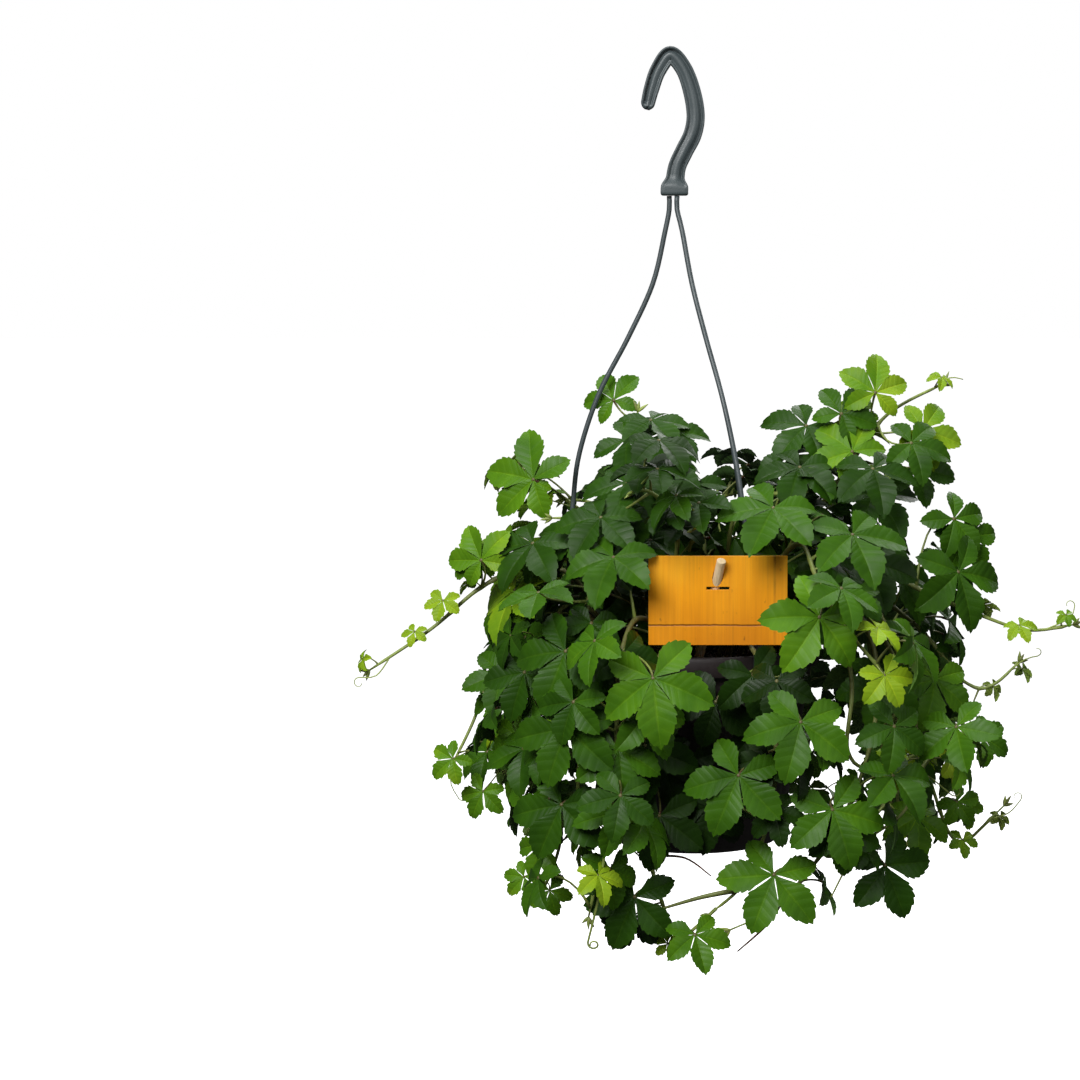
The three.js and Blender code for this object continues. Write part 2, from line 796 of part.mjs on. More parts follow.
// Leaves placed by hand: the stem, the place on it near the leaf's base, the hub, the way
// of the middle leaflet, the facing and the size
const PLACED_LEAVES = [
  [0, [-42, -112, 2], [-23, -142, -1], [0.2, -0.3, -1], [-0.1, -1, 0.4], 37],
  [5, [68, -110, 50], [68, -138, 32], [-0.5, -0.2, -0.9], [0.2, -1, 0.4], 35],
  [2, [44, -107, -18], [58, -138, -26], [-0.2, -0.2, -1], [0.1, -1, 0.5], 34],
  [2, [44, -113, -52], [24, -136, -56], [-0.3, -0.1, -1], [-0.1, -1, 0.4], 34],
  [4, [88, -103, -72], [76, -132, -76], [0.3, -0.2, -1], [0.1, -1, 0.4], 33],
  [4, [68, -104, -110], [44, -126, -114], [-0.4, -0.1, -1], [0, -1, 0.5], 34],
  [4, [86, -104, -82], [108, -94, -116], [0.4, 0, -1], [0.3, -1, 0.3], 31],
  [5, [94, -129, 12], [104, -138, 0], [0.5, -0.2, -1], [0.2, -1, 0.4], 19],
  [0, [-34, -88, 24], [-46, -92, 60], [-0.4, -0.8, -0.6], [-0.2, -0.7, 1], 32],
  [6, [-88, -33, 51], [-94, -54, 64], [-0.7, -0.5, -0.7], [-0.4, -0.7, 0.9], 34],
  [9, [-35, -12, 132], [-26, -28, 134], [0.5, -0.8, -0.3], [0.1, -0.5, 1], 26],
  [9, [-40, -9, 108], [-20, -24, 106], [0.8, -0.6, -0.4], [0.2, -0.5, 1], 30],
  [9, [-42, -5, 84], [-30, -34, 84], [-0.1, -0.9, -0.5], [-0.1, -0.6, 1], 32],
  [10, [-70, 14, 78], [-96, -14, 98], [-1, 0, 0.35], [-0.3, -1, 0.3], 33],
  [6, [-125, -42, 37], [-124, -52, 54], [-0.5, 0, 1], [-0.3, -1, 0.2], 23],
  [8, [100, -12, 118], [106, -24, 150], [0.2, 0, 1], [0.2, -1, 0.4], 25],
  [8, [80, -15, 92], [92, -34, 116], [-0.5, -0.3, 0.8], [0, -1, 0.6], 28],
  [8, [108, -10, 128], [134, -22, 128], [1, 0, -0.2], [0.3, -1, 0.5], 25],
  [1, [-28, -98, -30], [-28, -110, -44], [0.1, 0, -1], [-0.1, -1, 0.3], 33],
  [1, [-29, -98, -64], [-20, -110, -84], [-0.2, 0, -1], [0, -1, 0.3], 32],
  [7, [136, -50, 34], [152, -60, 48], [0.3, 0, -1], [0.5, -1, 0.3], 35],
  [0, [-42, -110, 6], [-72, -116, 10], [-0.4, -0.2, -1], [-0.3, -1, 0.4], 34],
  [0, [-44, -120, -42], [-70, -134, -30], [-0.3, -0.1, -1], [-0.2, -1, 0.4], 34],
  [0, [-48, -118, -84], [-74, -128, -74], [-0.4, -0.1, -1], [-0.3, -1, 0.3], 34],
  [1, [-24, -97, -118], [-34, -112, -130], [-0.3, 0, -1], [-0.1, -1, 0.3], 31],
  [5, [54, -68, 60], [44, -92, 88], [-0.4, -0.8, -0.4], [0, -0.8, 1], 34],
  [5, [64, -90, 60], [88, -104, 74], [0.4, -0.7, -0.6], [0.2, -0.8, 0.9], 34],
];
const PLACED_FOLD = 0.35;
const PLACED_DROOP = 0.15;

function nearestPoint(line, place) {
  let best = 2;
  line.forEach((point, i) => {
    const gap = length(add(point, place, -1));
    const onRing = (line.length - 2 - i) % LEAF_SPACING === 0;
    if (onRing && gap < length(add(line[best], place, -1))) best = i;
  });
  return line[best];
}

function addPlacedLeaves() {
  for (const [stem, base, hub, ahead, facing, size] of PLACED_LEAVES) {
    const leaf = leafFrame(hub, ahead, facing, size, PLACED_FOLD, PLACED_DROOP);
    addLeaf(stem, nearestPoint(stems[stem].line, base), leaf, null);
  }
}

function addRuleLeaves() {
  stems.forEach(({ line, young }, i) => {
    for (let k = line.length - 2; k > young * line.length; k -= LEAF_SPACING) {
      ruleLeaf(i, k, YOUNG);
    }
  });
  let count = 0;
  for (let round = 0; round < MOST_ROUNDS; round++) {
    stems.forEach(({ line, young }, i) => {
      const k = line.length - 2 - ((round * ROUND_STEP) % MOST_ROUNDS) * LEAF_SPACING;
      if (k < LOWEST_LEAF || k > (young ?? 1) * line.length || count >= MOST_LEAVES) return;
      if (ruleLeaf(i, k, GROWN)) count += 1;
    });
  }
}

for (const line of strandLines) {
  for (const bead of beadsAlong(line, STEM_BEAD_STEP)) {
    keep(bead, STRAND_RADIUS + STRAND_CLEAR, OWNER.strand);
  }
}
for (const { root, passes, young } of LONG_STEMS) addStem(root, passes, young);
addPlacedLeaves();
addTrailing();
addUpright();
addRuleLeaves();

// Leaf solid: both faces of the blade meet along its outline, and the petiole
// grows out of the underside round the hub
const PETIOLE_RINGS = [1, 0.5, 0];
const RIM_TURNS = [-24, -14, 0, 14, 24]; // of a leaflet's rim points, seen from the hub

function leafSolid(leaf) {
  const vertices = [];
  const triangles = [];
  const vertex = (point) => vertices.push(point) - 1;
  const half = BLADE_THICKNESS / 2;
  const hubTop = vertex(add(leaf.hub, leaf.normal, half));
  const rear = vertex(leafPoint(leaf, 180, 1, REAR, 0));
  const spokes = [{ turn: -180, vertex: rear }];
  LEAFLETS.forEach(({ turn, size }, i) => {
    const rim = [[TOOTH[0], -TOOTH[1]], [CUT[0], -CUT[1]], [1, 0], CUT, TOOTH];
    rim.forEach(([u, v], k) => {
      const own = vertex(leafPoint(leaf, turn, size, u, v));
      spokes.push({ turn: turn + RIM_TURNS[k], vertex: own });
    });
    const next = LEAFLETS[i + 1];
    const middle = next ? (turn + next.turn) / 2 : 180;
    const after = next ? vertex(leafPoint(leaf, middle, 1, CLEFT, 0)) : rear;
    spokes.push({ turn: middle, vertex: after });
  });
  let across = leaf.side;
  const rings = PETIOLE_RINGS.map((t) => {
    const centre = t === 1 ? add(leaf.hub, leaf.normal, -half) : petiolePoint(leaf, leaf.base, t);
    const along =
      t === 1
        ? leaf.normal
        : unit(add(petiolePoint(leaf, leaf.base, t + 0.1), petiolePoint(leaf, leaf.base, t), -1));
    across = unit(add(across, along, -dot(across, along)));
    const other = cross(along, across);
    return [0, 120, 240].map((phase) =>
      vertex(
        add(
          add(centre, across, PETIOLE_RADIUS * Math.cos(radians(phase))),
          other,
          PETIOLE_RADIUS * Math.sin(radians(phase)),
        ),
      ),
    );
  });
  const sectorOf = (turn) => (turn > 30 && turn <= 150 ? 0 : turn > -90 && turn <= 30 ? 2 : 1);
  let sector = sectorOf((spokes.at(-2).turn + spokes.at(-1).turn) / 2);
  for (let i = 0; i + 1 < spokes.length; i++) {
    const [a, b] = [spokes[i], spokes[i + 1]];
    const own = sectorOf((a.turn + b.turn) / 2);
    if (own !== sector) triangles.push([rings[0][own], a.vertex, rings[0][sector]]);
    sector = own;
    triangles.push([hubTop, a.vertex, b.vertex], [rings[0][own], b.vertex, a.vertex]);
  }
  for (let r = 0; r + 1 < rings.length; r++) {
    for (let k = 0; k < 3; k++) {
      const n = (k + 1) % 3;
      triangles.push(
        [rings[r][n], rings[r][k], rings[r + 1][k]],
        [rings[r][n], rings[r + 1][k], rings[r + 1][n]],
      );
    }
  }
  triangles.push([rings.at(-1)[2], rings.at(-1)[1], rings.at(-1)[0]]);
  return new wasm.Manifold(
    new wasm.Mesh({
      numProp: 3,
      vertProperties: new Float32Array(vertices.flat()),
      triVerts: new Uint32Array(triangles.flat()),
    }),
  );
}

function leafyStem({ line, leaves }) {
  const last = line.length - 1;
  const points = line.filter((_, i) => i < 2 || i === last || (last - 1 - i) % LEAF_SPACING === 0);
  const curve = new StemCurve(points.map(vector));
  let body = tube(curve, STEM_RADIUS, 3, points.length - 1);
  for (const leaf of leaves) body = body.add(leafSolid(leaf));
  return body;
}

// The scene graph: the hook at the origin, the pot and its plant in a frame below it
const part = new THREE.Group();
const plant = new THREE.Group();
plant.position.set(POT_SHIFT, 0, -RIM_DROP);
part.add(meshOf("hook", hook(), PLASTIC));
part.add(plant);
for (const rule of STRANDS) plant.add(meshOf(rule.name, strand(rule), PLASTIC));
plant.add(meshOf("pot", pot(), POT_PLASTIC));
plant.add(meshOf("soil", soil(stems.map(({ root }) => root)), SOIL_BROWN));
plant.add(meshOf("board", board(), BOARD_WOOD));
plant.add(meshOf("stick", rod(STICK_FOOT, STICK_TOP, STICK_RADIUS, 12), STICK_WOOD));
stems.forEach((stem, i) => {
  const name = "leafy_stem_" + String(i + 1).padStart(2, "0");
  plant.add(meshOf(name, leafyStem(stem), LEAF_GREEN));
});

export default part;
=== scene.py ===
import math
import random

import bmesh
import bpy
import numpy as np
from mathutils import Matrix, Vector


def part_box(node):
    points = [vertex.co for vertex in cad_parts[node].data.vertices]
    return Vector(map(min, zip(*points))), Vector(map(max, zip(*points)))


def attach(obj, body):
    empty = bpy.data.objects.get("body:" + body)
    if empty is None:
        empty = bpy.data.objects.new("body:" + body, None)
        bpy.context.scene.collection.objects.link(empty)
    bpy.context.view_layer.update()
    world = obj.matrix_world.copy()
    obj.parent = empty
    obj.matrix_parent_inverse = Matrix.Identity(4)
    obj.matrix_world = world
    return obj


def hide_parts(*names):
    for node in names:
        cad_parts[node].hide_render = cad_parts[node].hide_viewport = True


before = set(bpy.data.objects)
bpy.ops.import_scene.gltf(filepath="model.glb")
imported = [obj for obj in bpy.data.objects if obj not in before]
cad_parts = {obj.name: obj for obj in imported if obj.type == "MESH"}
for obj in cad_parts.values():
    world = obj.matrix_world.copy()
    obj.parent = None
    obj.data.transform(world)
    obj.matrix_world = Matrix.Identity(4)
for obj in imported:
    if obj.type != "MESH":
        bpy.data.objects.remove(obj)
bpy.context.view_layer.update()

# The layout is in millimetres in the plant's own frame, whose origin is the centre of the
# pot's rim. It repeats the driving dimensions and the draws of the solids.
MM = 0.001
PLANT = Vector((0.015, 0.0, -0.343))
RIM_RADIUS = 75
BASE_RADIUS = 52
POT_HEIGHT = 120
POT_WALL = 1.6
RIM_BAND = 12
RIM_LIP = 2.4
RIM_DROP = 343
POT_SHIFT = 15
SOIL_TOP = -12
GAP = 0.3
STRAND_RADIUS = 1.5
BOARD = {"width": 79, "height": 51, "x": 13, "y": -84, "z": 34.5}
STICK_FOOT = (-8, -26, -52)
STICK_TOP = (15, -90.5, 58)
ROOT_DEPTH = 6
CLIP = {"width": 9, "thick": 2.4, "top": 7, "bottom": -15.5, "lip": 2.2}
CLIP_RADIUS = RIM_RADIUS + GAP + CLIP["thick"] / 2

SEED = 20117
drawn = SEED
DRAW_FACTOR = 1664525
DRAW_STEP = 1013904223
DRAW_RANGE = 4294967296


def draw(low, high):
    global drawn
    drawn = (DRAW_FACTOR * drawn + DRAW_STEP) % DRAW_RANGE
    return low + ((high - low) * drawn) / DRAW_RANGE


# Plain vector sums on (x, y, z)
def add(a, b, s=1.0):
    return (a[0] + b[0] * s, a[1] + b[1] * s, a[2] + b[2] * s)


def dot(a, b):
    return a[0] * b[0] + a[1] * b[1] + a[2] * b[2]


def cross(a, b):
    return (a[1] * b[2] - a[2] * b[1], a[2] * b[0] - a[0] * b[2], a[0] * b[1] - a[1] * b[0])


def length(a):
    return math.sqrt(dot(a, a))


def unit(a):
    size = length(a)
    return (a[0] / size, a[1] / size, a[2] / size)


def curve(a, b, c, d, t):
    """One coordinate of the curve through four neighbours, a share t of the way from b to c."""
    return b + 0.5 * t * (c - a + t * (2 * a - 5 * b + 4 * c - d + t * (3 * (b - c) + d - a)))


def smooth_line(points, step=8):
    """A line through the points, with its own points about one step apart."""
    out = [tuple(points[0])]
    for i in range(len(points) - 1):
        a = points[max(i - 1, 0)]
        b = points[i]
        c = points[i + 1]
        d = points[min(i + 2, len(points) - 1)]
        count = max(1, math.floor(length(add(c, b, -1)) / step + 0.5))
        for k in range(1, count + 1):
            out.append(tuple(curve(*neighbours, k / count) for neighbours in zip(a, b, c, d)))
    return out


# Strands of the hanger
HOOK_FOOT = {"x": 2.8, "top": -72, "bottom": -77, "width": 16.4, "depth": 11}
STRAND_SPREAD = [
    (245, 0.04), (214, 0.16), (182, 0.4), (148, 0.69), (113, 0.88), (83, 0.945), (40, 0.99), (6, 1),
]
STRANDS = [
    {"name": "strand_left", "azimuth": 180, "bow": 1},
    {"name": "strand_front_right", "azimuth": -60, "bow": 0.4},
    {"name": "strand_rear_right", "azimuth": 60, "bow": 0.4},
]
STRAND_START = 3.1
STRAIGHT_START = 8  # each strand leaves the foot straight down for this far


def strand_points(rule):
    turn = (rule["azimuth"] * math.pi) / 180
    foot_x = HOOK_FOOT["x"] - POT_SHIFT
    start_z = RIM_DROP + HOOK_FOOT["bottom"] - GAP
    start = (foot_x + STRAND_START * math.cos(turn), STRAND_START * math.sin(turn))
    end = (CLIP_RADIUS * math.cos(turn), CLIP_RADIUS * math.sin(turn))
    points = [(*start, start_z), (*start, start_z - STRAIGHT_START)]
    for z, share in STRAND_SPREAD:
        straight = (start_z - z) / start_z
        s = straight + (share - straight) * rule["bow"]
        points.append((start[0] + (end[0] - start[0]) * s, start[1] + (end[1] - start[1]) * s, z))
    return points


# Long stems given one by one: the root on the soil, the points that the stem passes, and the
# share from which it bears small new leaves
LONG_STEMS = [
    ((-14, -34), [(-20, -60, 14), (-34, -88, 24), (-42, -112, 2), (-44, -120, -42), (-48, -118, -84),
                  (-60, -110, -142)], None),
    ((-12, -48), [(-14, -61, 6), (-18, -82, 6), (-26, -98, -14), (-30, -98, -60), (-26, -98, -110),
                  (-12, -94, -158)], None),
    ((24, -44), [(28, -60, 6), (33, -82, 6), (44, -106, -16), (44, -116, -70), (30, -112, -118),
                 (8, -104, -142)], None),
    ((38, -34), [(58, -48, 20), (78, -76, 34), (88, -104, -8), (86, -108, -48), (104, -102, -58),
                 (152, -80, -44)], None),
    ((30, -20), [(52, -40, 26), (72, -66, 44), (98, -88, 18), (102, -98, -30), (84, -104, -86),
                 (50, -104, -134), (20, -100, -152)], None),
    ((16, -36), [(44, -52, 46), (60, -76, 66), (68, -110, 50), (82, -128, 26), (104, -128, 0)], None),
    ((-30, -6), [(-50, -14, 30), (-72, -28, 52), (-96, -36, 50), (-125, -42, 37), (-154, -46, 13),
                 (-190, -48, -11)], 0.58),
    ((34, -6), [(62, -20, 36), (98, -38, 50), (136, -50, 34), (168, -52, 21), (194, -52, 13),
                (220, -50, 16)], 0.68),
    ((22, 8), [(36, 0, 30), (60, -14, 62), (90, -14, 104), (114, -8, 136), (148, 2, 154)], 0.6),
    ((-18, 10), [(-30, 6, 24), (-42, -5, 73), (-40, -10, 116), (-34, -12, 138)], None),
    ((-26, 20), [(-38, 24, 26), (-60, 18, 66), (-78, 10, 84), (-104, 2, 104)], None),
    ((40, 14), [(80, 14, 38), (130, -10, 12), (160, -20, -22), (176, -24, -24), (192, -24, -10)], 0.75),
    ((30, 32), [(76, 32, 38), (122, 6, -14), (140, -18, -80), (156, -24, -118), (176, -26, -104),
                (184, -26, -96)], 0.8),
    ((-36, 22), [(-80, 22, 34), (-116, 2, -8), (-134, -14, -50), (-144, -18, -70)], None),
]
TRAILING = {"count": 16, "from": -38, "to": 228}
UPRIGHT = {"count": 9, "from": -80, "to": 280}

# Beads stand for what is already there, in a grid of cells
CELL = 7
STRIDE = 800
MIDDLE = 400
cells = {}
NEAR = [a + STRIDE * (b + STRIDE * c) for a in (-1, 0, 1) for b in (-1, 0, 1) for c in (-1, 0, 1)]


def cell_key(point):
    i = math.floor(point[0] / CELL)
    j = math.floor(point[1] / CELL)
    k = math.floor(point[2] / CELL)
    return i + MIDDLE + STRIDE * (j + MIDDLE + STRIDE * (k + MIDDLE))


def keep(point, radius, owner):
    cells.setdefault(cell_key(point), []).append((point[0], point[1], point[2], radius, owner))


def touches(point, radius, other_than):
    px, py, pz = point
    key = cell_key(point)
    for offset in NEAR:
        for x, y, z, r, owner in cells.get(key + offset, ()):
            reach = radius + r
            dx = x - px
            dy = y - py
            dz = z - pz
            if owner != other_than and dx * dx + dy * dy + dz * dz < reach * reach:
                return True
    return False


LEAF_BEAD = 2.8
STEM_BEAD = 2.2
PETIOLE_BEAD = 1.2
BEAD_SPACING = 3
# Owners of beads, apart from the stems' numbers
ANY_STRAND, NOBODY, ANY_LEAF, ANY_PETIOLE = -1, -2, -3, -4


def between(a, b, spacing):
    count = max(1, math.ceil(length(add(b, a, -1)) / spacing))
    return [add(a, add(b, a, -1), i / count) for i in range(count)]


def beads_along(line):
    return [bead for a, b in zip(line, line[1:]) for bead in between(a, b, BEAD_SPACING)]


# The foliage stays within this outline, seen from the front: X and Z of its corners
FRONT_OUTLINE = [
    (-142, -78), (-136, 0), (-136, 60), (-128, 100), (-108, 122), (-84, 104), (-72, 84), (-64, 140),
    (-34, 146), (2, 132), (24, 116), (44, 140), (92, 146), (124, 160), (158, 150), (162, 76),
    (174, 30), (178, -40), (172, -70), (158, -110), (140, -152), (86, -156), (26, -166), (-34, -166),
    (-66, -160), (-112, -134), (-126, -100),
]


def inside_outline(x, z):
    inside = False
    xj, zj = FRONT_OUTLINE[-1]
    for xi, zi in FRONT_OUTLINE:
        if (zi > z) != (zj > z) and x < ((xj - xi) * (z - zi)) / (zj - zi) + xi:
            inside = not inside
        xj, zj = xi, zi
    return inside


def wall_radius(z):
    return BASE_RADIUS + (RIM_RADIUS - RIM_LIP - BASE_RADIUS) * (1 + z / POT_HEIGHT)


strand_lines = [strand_points(rule) for rule in STRANDS]
FREE_ABOVE = 84  # the strands are free of leaves in front above this height
POT_CLEAR = 4
ABOVE_RIM = 3
STICK_CLEAR = 7
STRAND_CLEAR = 1
STRAND_VIEW = 7  # half the width kept free in front of a strand
BOARD_CLEAR = {"across": 3, "front": 5, "overlap": -2, "above": 1}
CLIP_BELOW = 6  # the strands' clips reach this far below the rim band
POT_WINDOW = {"x": 4, "half": 15, "top": -34}


# Beads of foliage keep out of the pot and the column under it, the board and the view of
# it, the stick, and the view of the strands
def near_pot(x, y, z):
    r = math.sqrt(x * x + y * y)
    if -POT_HEIGHT - POT_CLEAR < z < ABOVE_RIM:
        clip = RIM_RADIUS + CLIP["thick"] if z > -RIM_BAND - CLIP_BELOW else 0
        if r < max(wall_radius(z), clip) + POT_CLEAR:
            return True
    return z <= -POT_HEIGHT - POT_CLEAR and r < BASE_RADIUS + 2 * POT_CLEAR


def near_board(x, y, z):
    across = abs(x - BOARD["x"])
    up = abs(z - BOARD["z"])
    wide = BOARD["width"] / 2
    high = BOARD["height"] / 2
    clear = BOARD_CLEAR["across"]
    if abs(y - BOARD["y"]) < BOARD_CLEAR["front"] and across < wide + clear and up < high + clear:
        return True
    return y < BOARD["y"] and across < wide + BOARD_CLEAR["overlap"] and up < high + BOARD_CLEAR["above"]


def near_stick(x, y, z):
    share = (z - STICK_FOOT[2]) / (STICK_TOP[2] - STICK_FOOT[2])
    if not 0 < share < 1.1:
        return False
    stick_x = STICK_FOOT[0] + (STICK_TOP[0] - STICK_FOOT[0]) * share
    stick_y = STICK_FOOT[1] + (STICK_TOP[1] - STICK_FOOT[1]) * share
    return abs(x - stick_x) < STICK_CLEAR and abs(y - stick_y) < STICK_CLEAR


def hides_strand(x, y, z):
    if z <= FREE_ABOVE:
        return False
    for line in strand_lines:
        for a, b in zip(line, line[1:]):
            if a[2] < z or b[2] > z:
                continue
            t = (a[2] - z) / (a[2] - b[2])
            if y < a[1] + (b[1] - a[1]) * t and abs(x - a[0] - (b[0] - a[0]) * t) < STRAND_VIEW:
                return True
    return False


def barred(point):
    return near_pot(*point) or near_board(*point) or near_stick(*point) or hides_strand(*point)


def hides_pot(point):
    x, y, z = point
    return y < 0 and abs(x - POT_WINDOW["x"]) < POT_WINDOW["half"] and -POT_HEIGHT < z < POT_WINDOW["top"]


# Stems: each a line from under the soil to its tip. The first beads, and any above the rim,
# may be inside the pot's bounds.
stems = []
IN_POT = {"beads": 6, "above": 6}


def add_stem(root, passes, young=None):
    foot = (root[0], root[1], SOIL_TOP - ROOT_DEPTH)
    collar = (root[0], root[1], SOIL_TOP + 2)
    line = [foot, *smooth_line([collar, *passes])]
    stems.append({"root": root, "line": line, "young": young, "leaves": []})
    for bead in beads_along(line):
        keep(bead, STEM_BEAD, len(stems) - 1)


def rule_stem(root, passes):
    line = smooth_line([(root[0], root[1], SOIL_TOP + 2), *passes])
    for i, bead in enumerate(beads_along(line)):
        outside = i >= IN_POT["beads"] and bead[2] <= IN_POT["above"]
        if touches(bead, STEM_BEAD, NOBODY) or (outside and barred(bead)):
            return False
    add_stem(root, passes)
    return True


def polar(radius, azimuth, z):
    turn = (azimuth * math.pi) / 180
    return (radius * math.cos(turn), radius * math.sin(turn), z)


STEM_TRIES = 14


def add_trailing():
    step = (TRAILING["to"] - TRAILING["from"]) / (TRAILING["count"] - 1)
    for i in range(TRAILING["count"]):
        for _ in range(STEM_TRIES):
            azimuth = TRAILING["from"] + step * i + draw(-6, 6)
            distance = draw(34, 58)
            root = polar(distance, azimuth + draw(-8, 8), 0)
            rise = draw(14, 48)
            reach = draw(100, 120) + 24 * max(0, math.cos((azimuth * math.pi) / 180))
            end = draw(-150, -50)
            sway = draw(-10, 10)
            passes = [
                polar(70, azimuth, rise * 0.8),
                polar(88, azimuth, rise),
                polar(reach * 0.94, azimuth + sway * 0.3, rise * 0.3),
                polar(reach, azimuth + sway * 0.7, end * 0.4),
                polar(reach - 4, azimuth + sway, end * 0.75),
                polar(reach + 2, azimuth + sway * 0.5, end),
            ]
            if rule_stem(root, passes):
                break


def add_upright():
    step = (UPRIGHT["to"] - UPRIGHT["from"]) / UPRIGHT["count"]
    for i in range(UPRIGHT["count"]):
        for _ in range(STEM_TRIES):
            azimuth = UPRIGHT["from"] + step * i + draw(-12, 12)
            root = polar(draw(8, 30), azimuth, 0)
            rise = draw(72, 116)
            reach = draw(46, 96)
            low = draw(26, 40)
            middle = azimuth + draw(-8, 8)
            top = azimuth + draw(-6, 6)
            passes = [
                polar(low, azimuth, rise * 0.35),
                polar(reach * 0.7, middle, rise * 0.8),
                polar(reach, azimuth, rise),
                polar(reach + 22, top, rise + 2),
            ]
            if rule_stem(root, passes):
                break


# Palmate leaf: five leaflets round a hub. u runs along a leaflet's rib and v across it,
# as shares of its own length.
LEAFLETS = [(-126, 0.74), (-63, 0.93), (0, 1), (63, 0.93), (126, 0.74)]
BEADS = [
    (0.02, 0), (0.16, 0), (0.3, -0.05), (0.3, 0.05), (0.45, -0.13), (0.45, 0), (0.45, 0.13),
    (0.6, -0.24), (0.6, -0.08), (0.6, 0.08), (0.6, 0.24), (0.76, -0.19), (0.76, -0.06),
    (0.76, 0.06), (0.76, 0.19), (0.9, -0.05), (0.9, 0.05), (1, 0),
]


def leaf_frame(hub, ahead, facing, size, fold, droop):
    normal = unit(facing)
    forward = unit(add(ahead, normal, -dot(ahead, normal)))
    return {
        "hub": hub,
        "normal": normal,
        "forward": forward,
        "side": cross(normal, forward),
        "size": size,
        "fold": fold,
        "droop": droop,
    }


def leaf_point(leaf, turn, size, u, v):
    own = leaf["size"] * size
    angle = (turn * math.pi) / 180
    ahead = own * (u * math.cos(angle) - v * math.sin(angle))
    aside = own * (u * math.sin(angle) + v * math.cos(angle))
    lift = own * (leaf["fold"] * abs(v) - leaf["droop"] * u * u)
    point = add(add(leaf["hub"], leaf["forward"], ahead), leaf["side"], aside)
    return add(point, leaf["normal"], lift)


PETIOLE_BEND = -0.34
PETIOLE_BEADS = {"least": 3, "spacing": 2, "off_stem": 4, "off_hub": 3.5}


def petiole_point(leaf, base, t):
    reach = length(add(leaf["hub"], base, -1))
    bend = add(add(leaf["hub"], leaf["normal"], PETIOLE_BEND * reach), leaf["forward"], PETIOLE_BEND * reach)
    a = (1 - t) * (1 - t)
    b = 2 * t * (1 - t)
    return add(add((base[0] * a, base[1] * a, base[2] * a), bend, b), leaf["hub"], t * t)


def leaf_beads(leaf):
    return [leaf_point(leaf, turn, size, u, v) for turn, size in LEAFLETS for u, v in BEADS]


def petiole_beads(leaf, base):
    rule = PETIOLE_BEADS
    reach = length(add(leaf["hub"], base, -1))
    count = max(rule["least"], math.ceil(reach / rule["spacing"]))
    shares = [i / count for i in range(count)]
    shares = [t for t in shares if t * reach > rule["off_stem"] and (1 - t) * reach > rule["off_hub"]]
    return [petiole_point(leaf, base, t) for t in shares]


# Places in front that the extra leaves leave free, as the photo shows gaps or a placed leaf
# there: lowest and highest x, lowest and highest z
OPEN_PLACES = [
    (-62, 20, -210, -143), (28, 62, -142, -100), (86, 120, -210, -120), (-110, -62, -210, -128),
    (-84, -50, 92, 150), (108, 150, 30, 66), (86, 130, -44, 14),
]
OPEN_BEFORE = 40


def in_open_place(bead):
    x, y, z = bead
    return y < OPEN_BEFORE and any(a < x < b and c < z < d for a, b, c, d in OPEN_PLACES)


def has_room(stem_index, blade, stalk, habit):
    if "open" in habit and any(in_open_place(bead) for bead in blade):
        return False
    if habit["inside"]:
        for bead in blade:
            if hides_pot(bead) or not inside_outline(bead[0], bead[2]):
                return False
    for bead in blade:
        if barred(bead) or touches(bead, habit["clear"], NOBODY):
            return False
    for bead in stalk:
        if barred(bead) or touches(bead, PETIOLE_BEAD, stem_index):
            return False
    return True


def add_leaf(stem_index, base, leaf, habit):
    blade = leaf_beads(leaf)
    stalk = petiole_beads(leaf, base)
    if habit and not has_room(stem_index, blade, stalk, habit):
        return False
    for bead in blade:
        keep(bead, LEAF_BEAD, ANY_LEAF)
    for bead in stalk:
        keep(bead, PETIOLE_BEAD, ANY_PETIOLE)
    leaf["base"] = base
    stems[stem_index]["leaves"].append(leaf)
    return True


LEAF_SPACING = 3
LEAF_TRIES = 20
LOWEST_LEAF = 4
MOST_LEAVES = 91
MOST_ROUNDS = 16
ROUND_STEP = 5
GROWN = {"size": (27, 37), "reach": (16, 42), "inside": True, "clear": LEAF_BEAD}
YOUNG = {"size": (10, 17), "reach": (7, 15), "inside": False, "clear": LEAF_BEAD}
CROWN_HEIGHT = 110  # leaves at this height face up most
TURN = {"side": 75, "middle": 105, "radius": 80}  # degrees off straight outward, more near the axis
TIP_SMALLER = 0.25


def rule_leaf(stem_index, k, habit):
    line = stems[stem_index]["line"]
    base = line[k]
    share = k / (len(line) - 1)
    height = min(max(base[2] / CROWN_HEIGHT, 0), 1)
    radius = math.sqrt(base[0] * base[0] + base[1] * base[1])
    span = TURN["side"] + TURN["middle"] * max(0, 1 - radius / TURN["radius"])
    for _ in range(LEAF_TRIES):
        turn = draw(-span, span)
        lift = draw(-0.1, 0.8) + 0.5 * height
        reach = draw(*habit["reach"])
        size = draw(*habit["size"]) * (1 - TIP_SMALLER * share * share)
        sway = (draw(-0.4, 0.4), draw(-0.4, 0.4), draw(-0.3, 0.3))
        azimuth = math.atan2(base[1], base[0]) + (turn * math.pi) / 180
        out = (math.cos(azimuth), math.sin(azimuth), 0)
        hub = add(base, unit((out[0], out[1], lift)), reach)
        facing = (out[0] + sway[0], out[1] + sway[1], 0.5 + 1.6 * height + sway[2])
        ahead = (out[0] * 0.5 + sway[1], out[1] * 0.5 - sway[0], -1 + 0.5 * height)
        fold = draw(0.25, 0.5)
        leaf = leaf_frame(hub, ahead, facing, size, fold, draw(0.05, 0.3))
        if add_leaf(stem_index, base, leaf, habit):
            return True
    return False
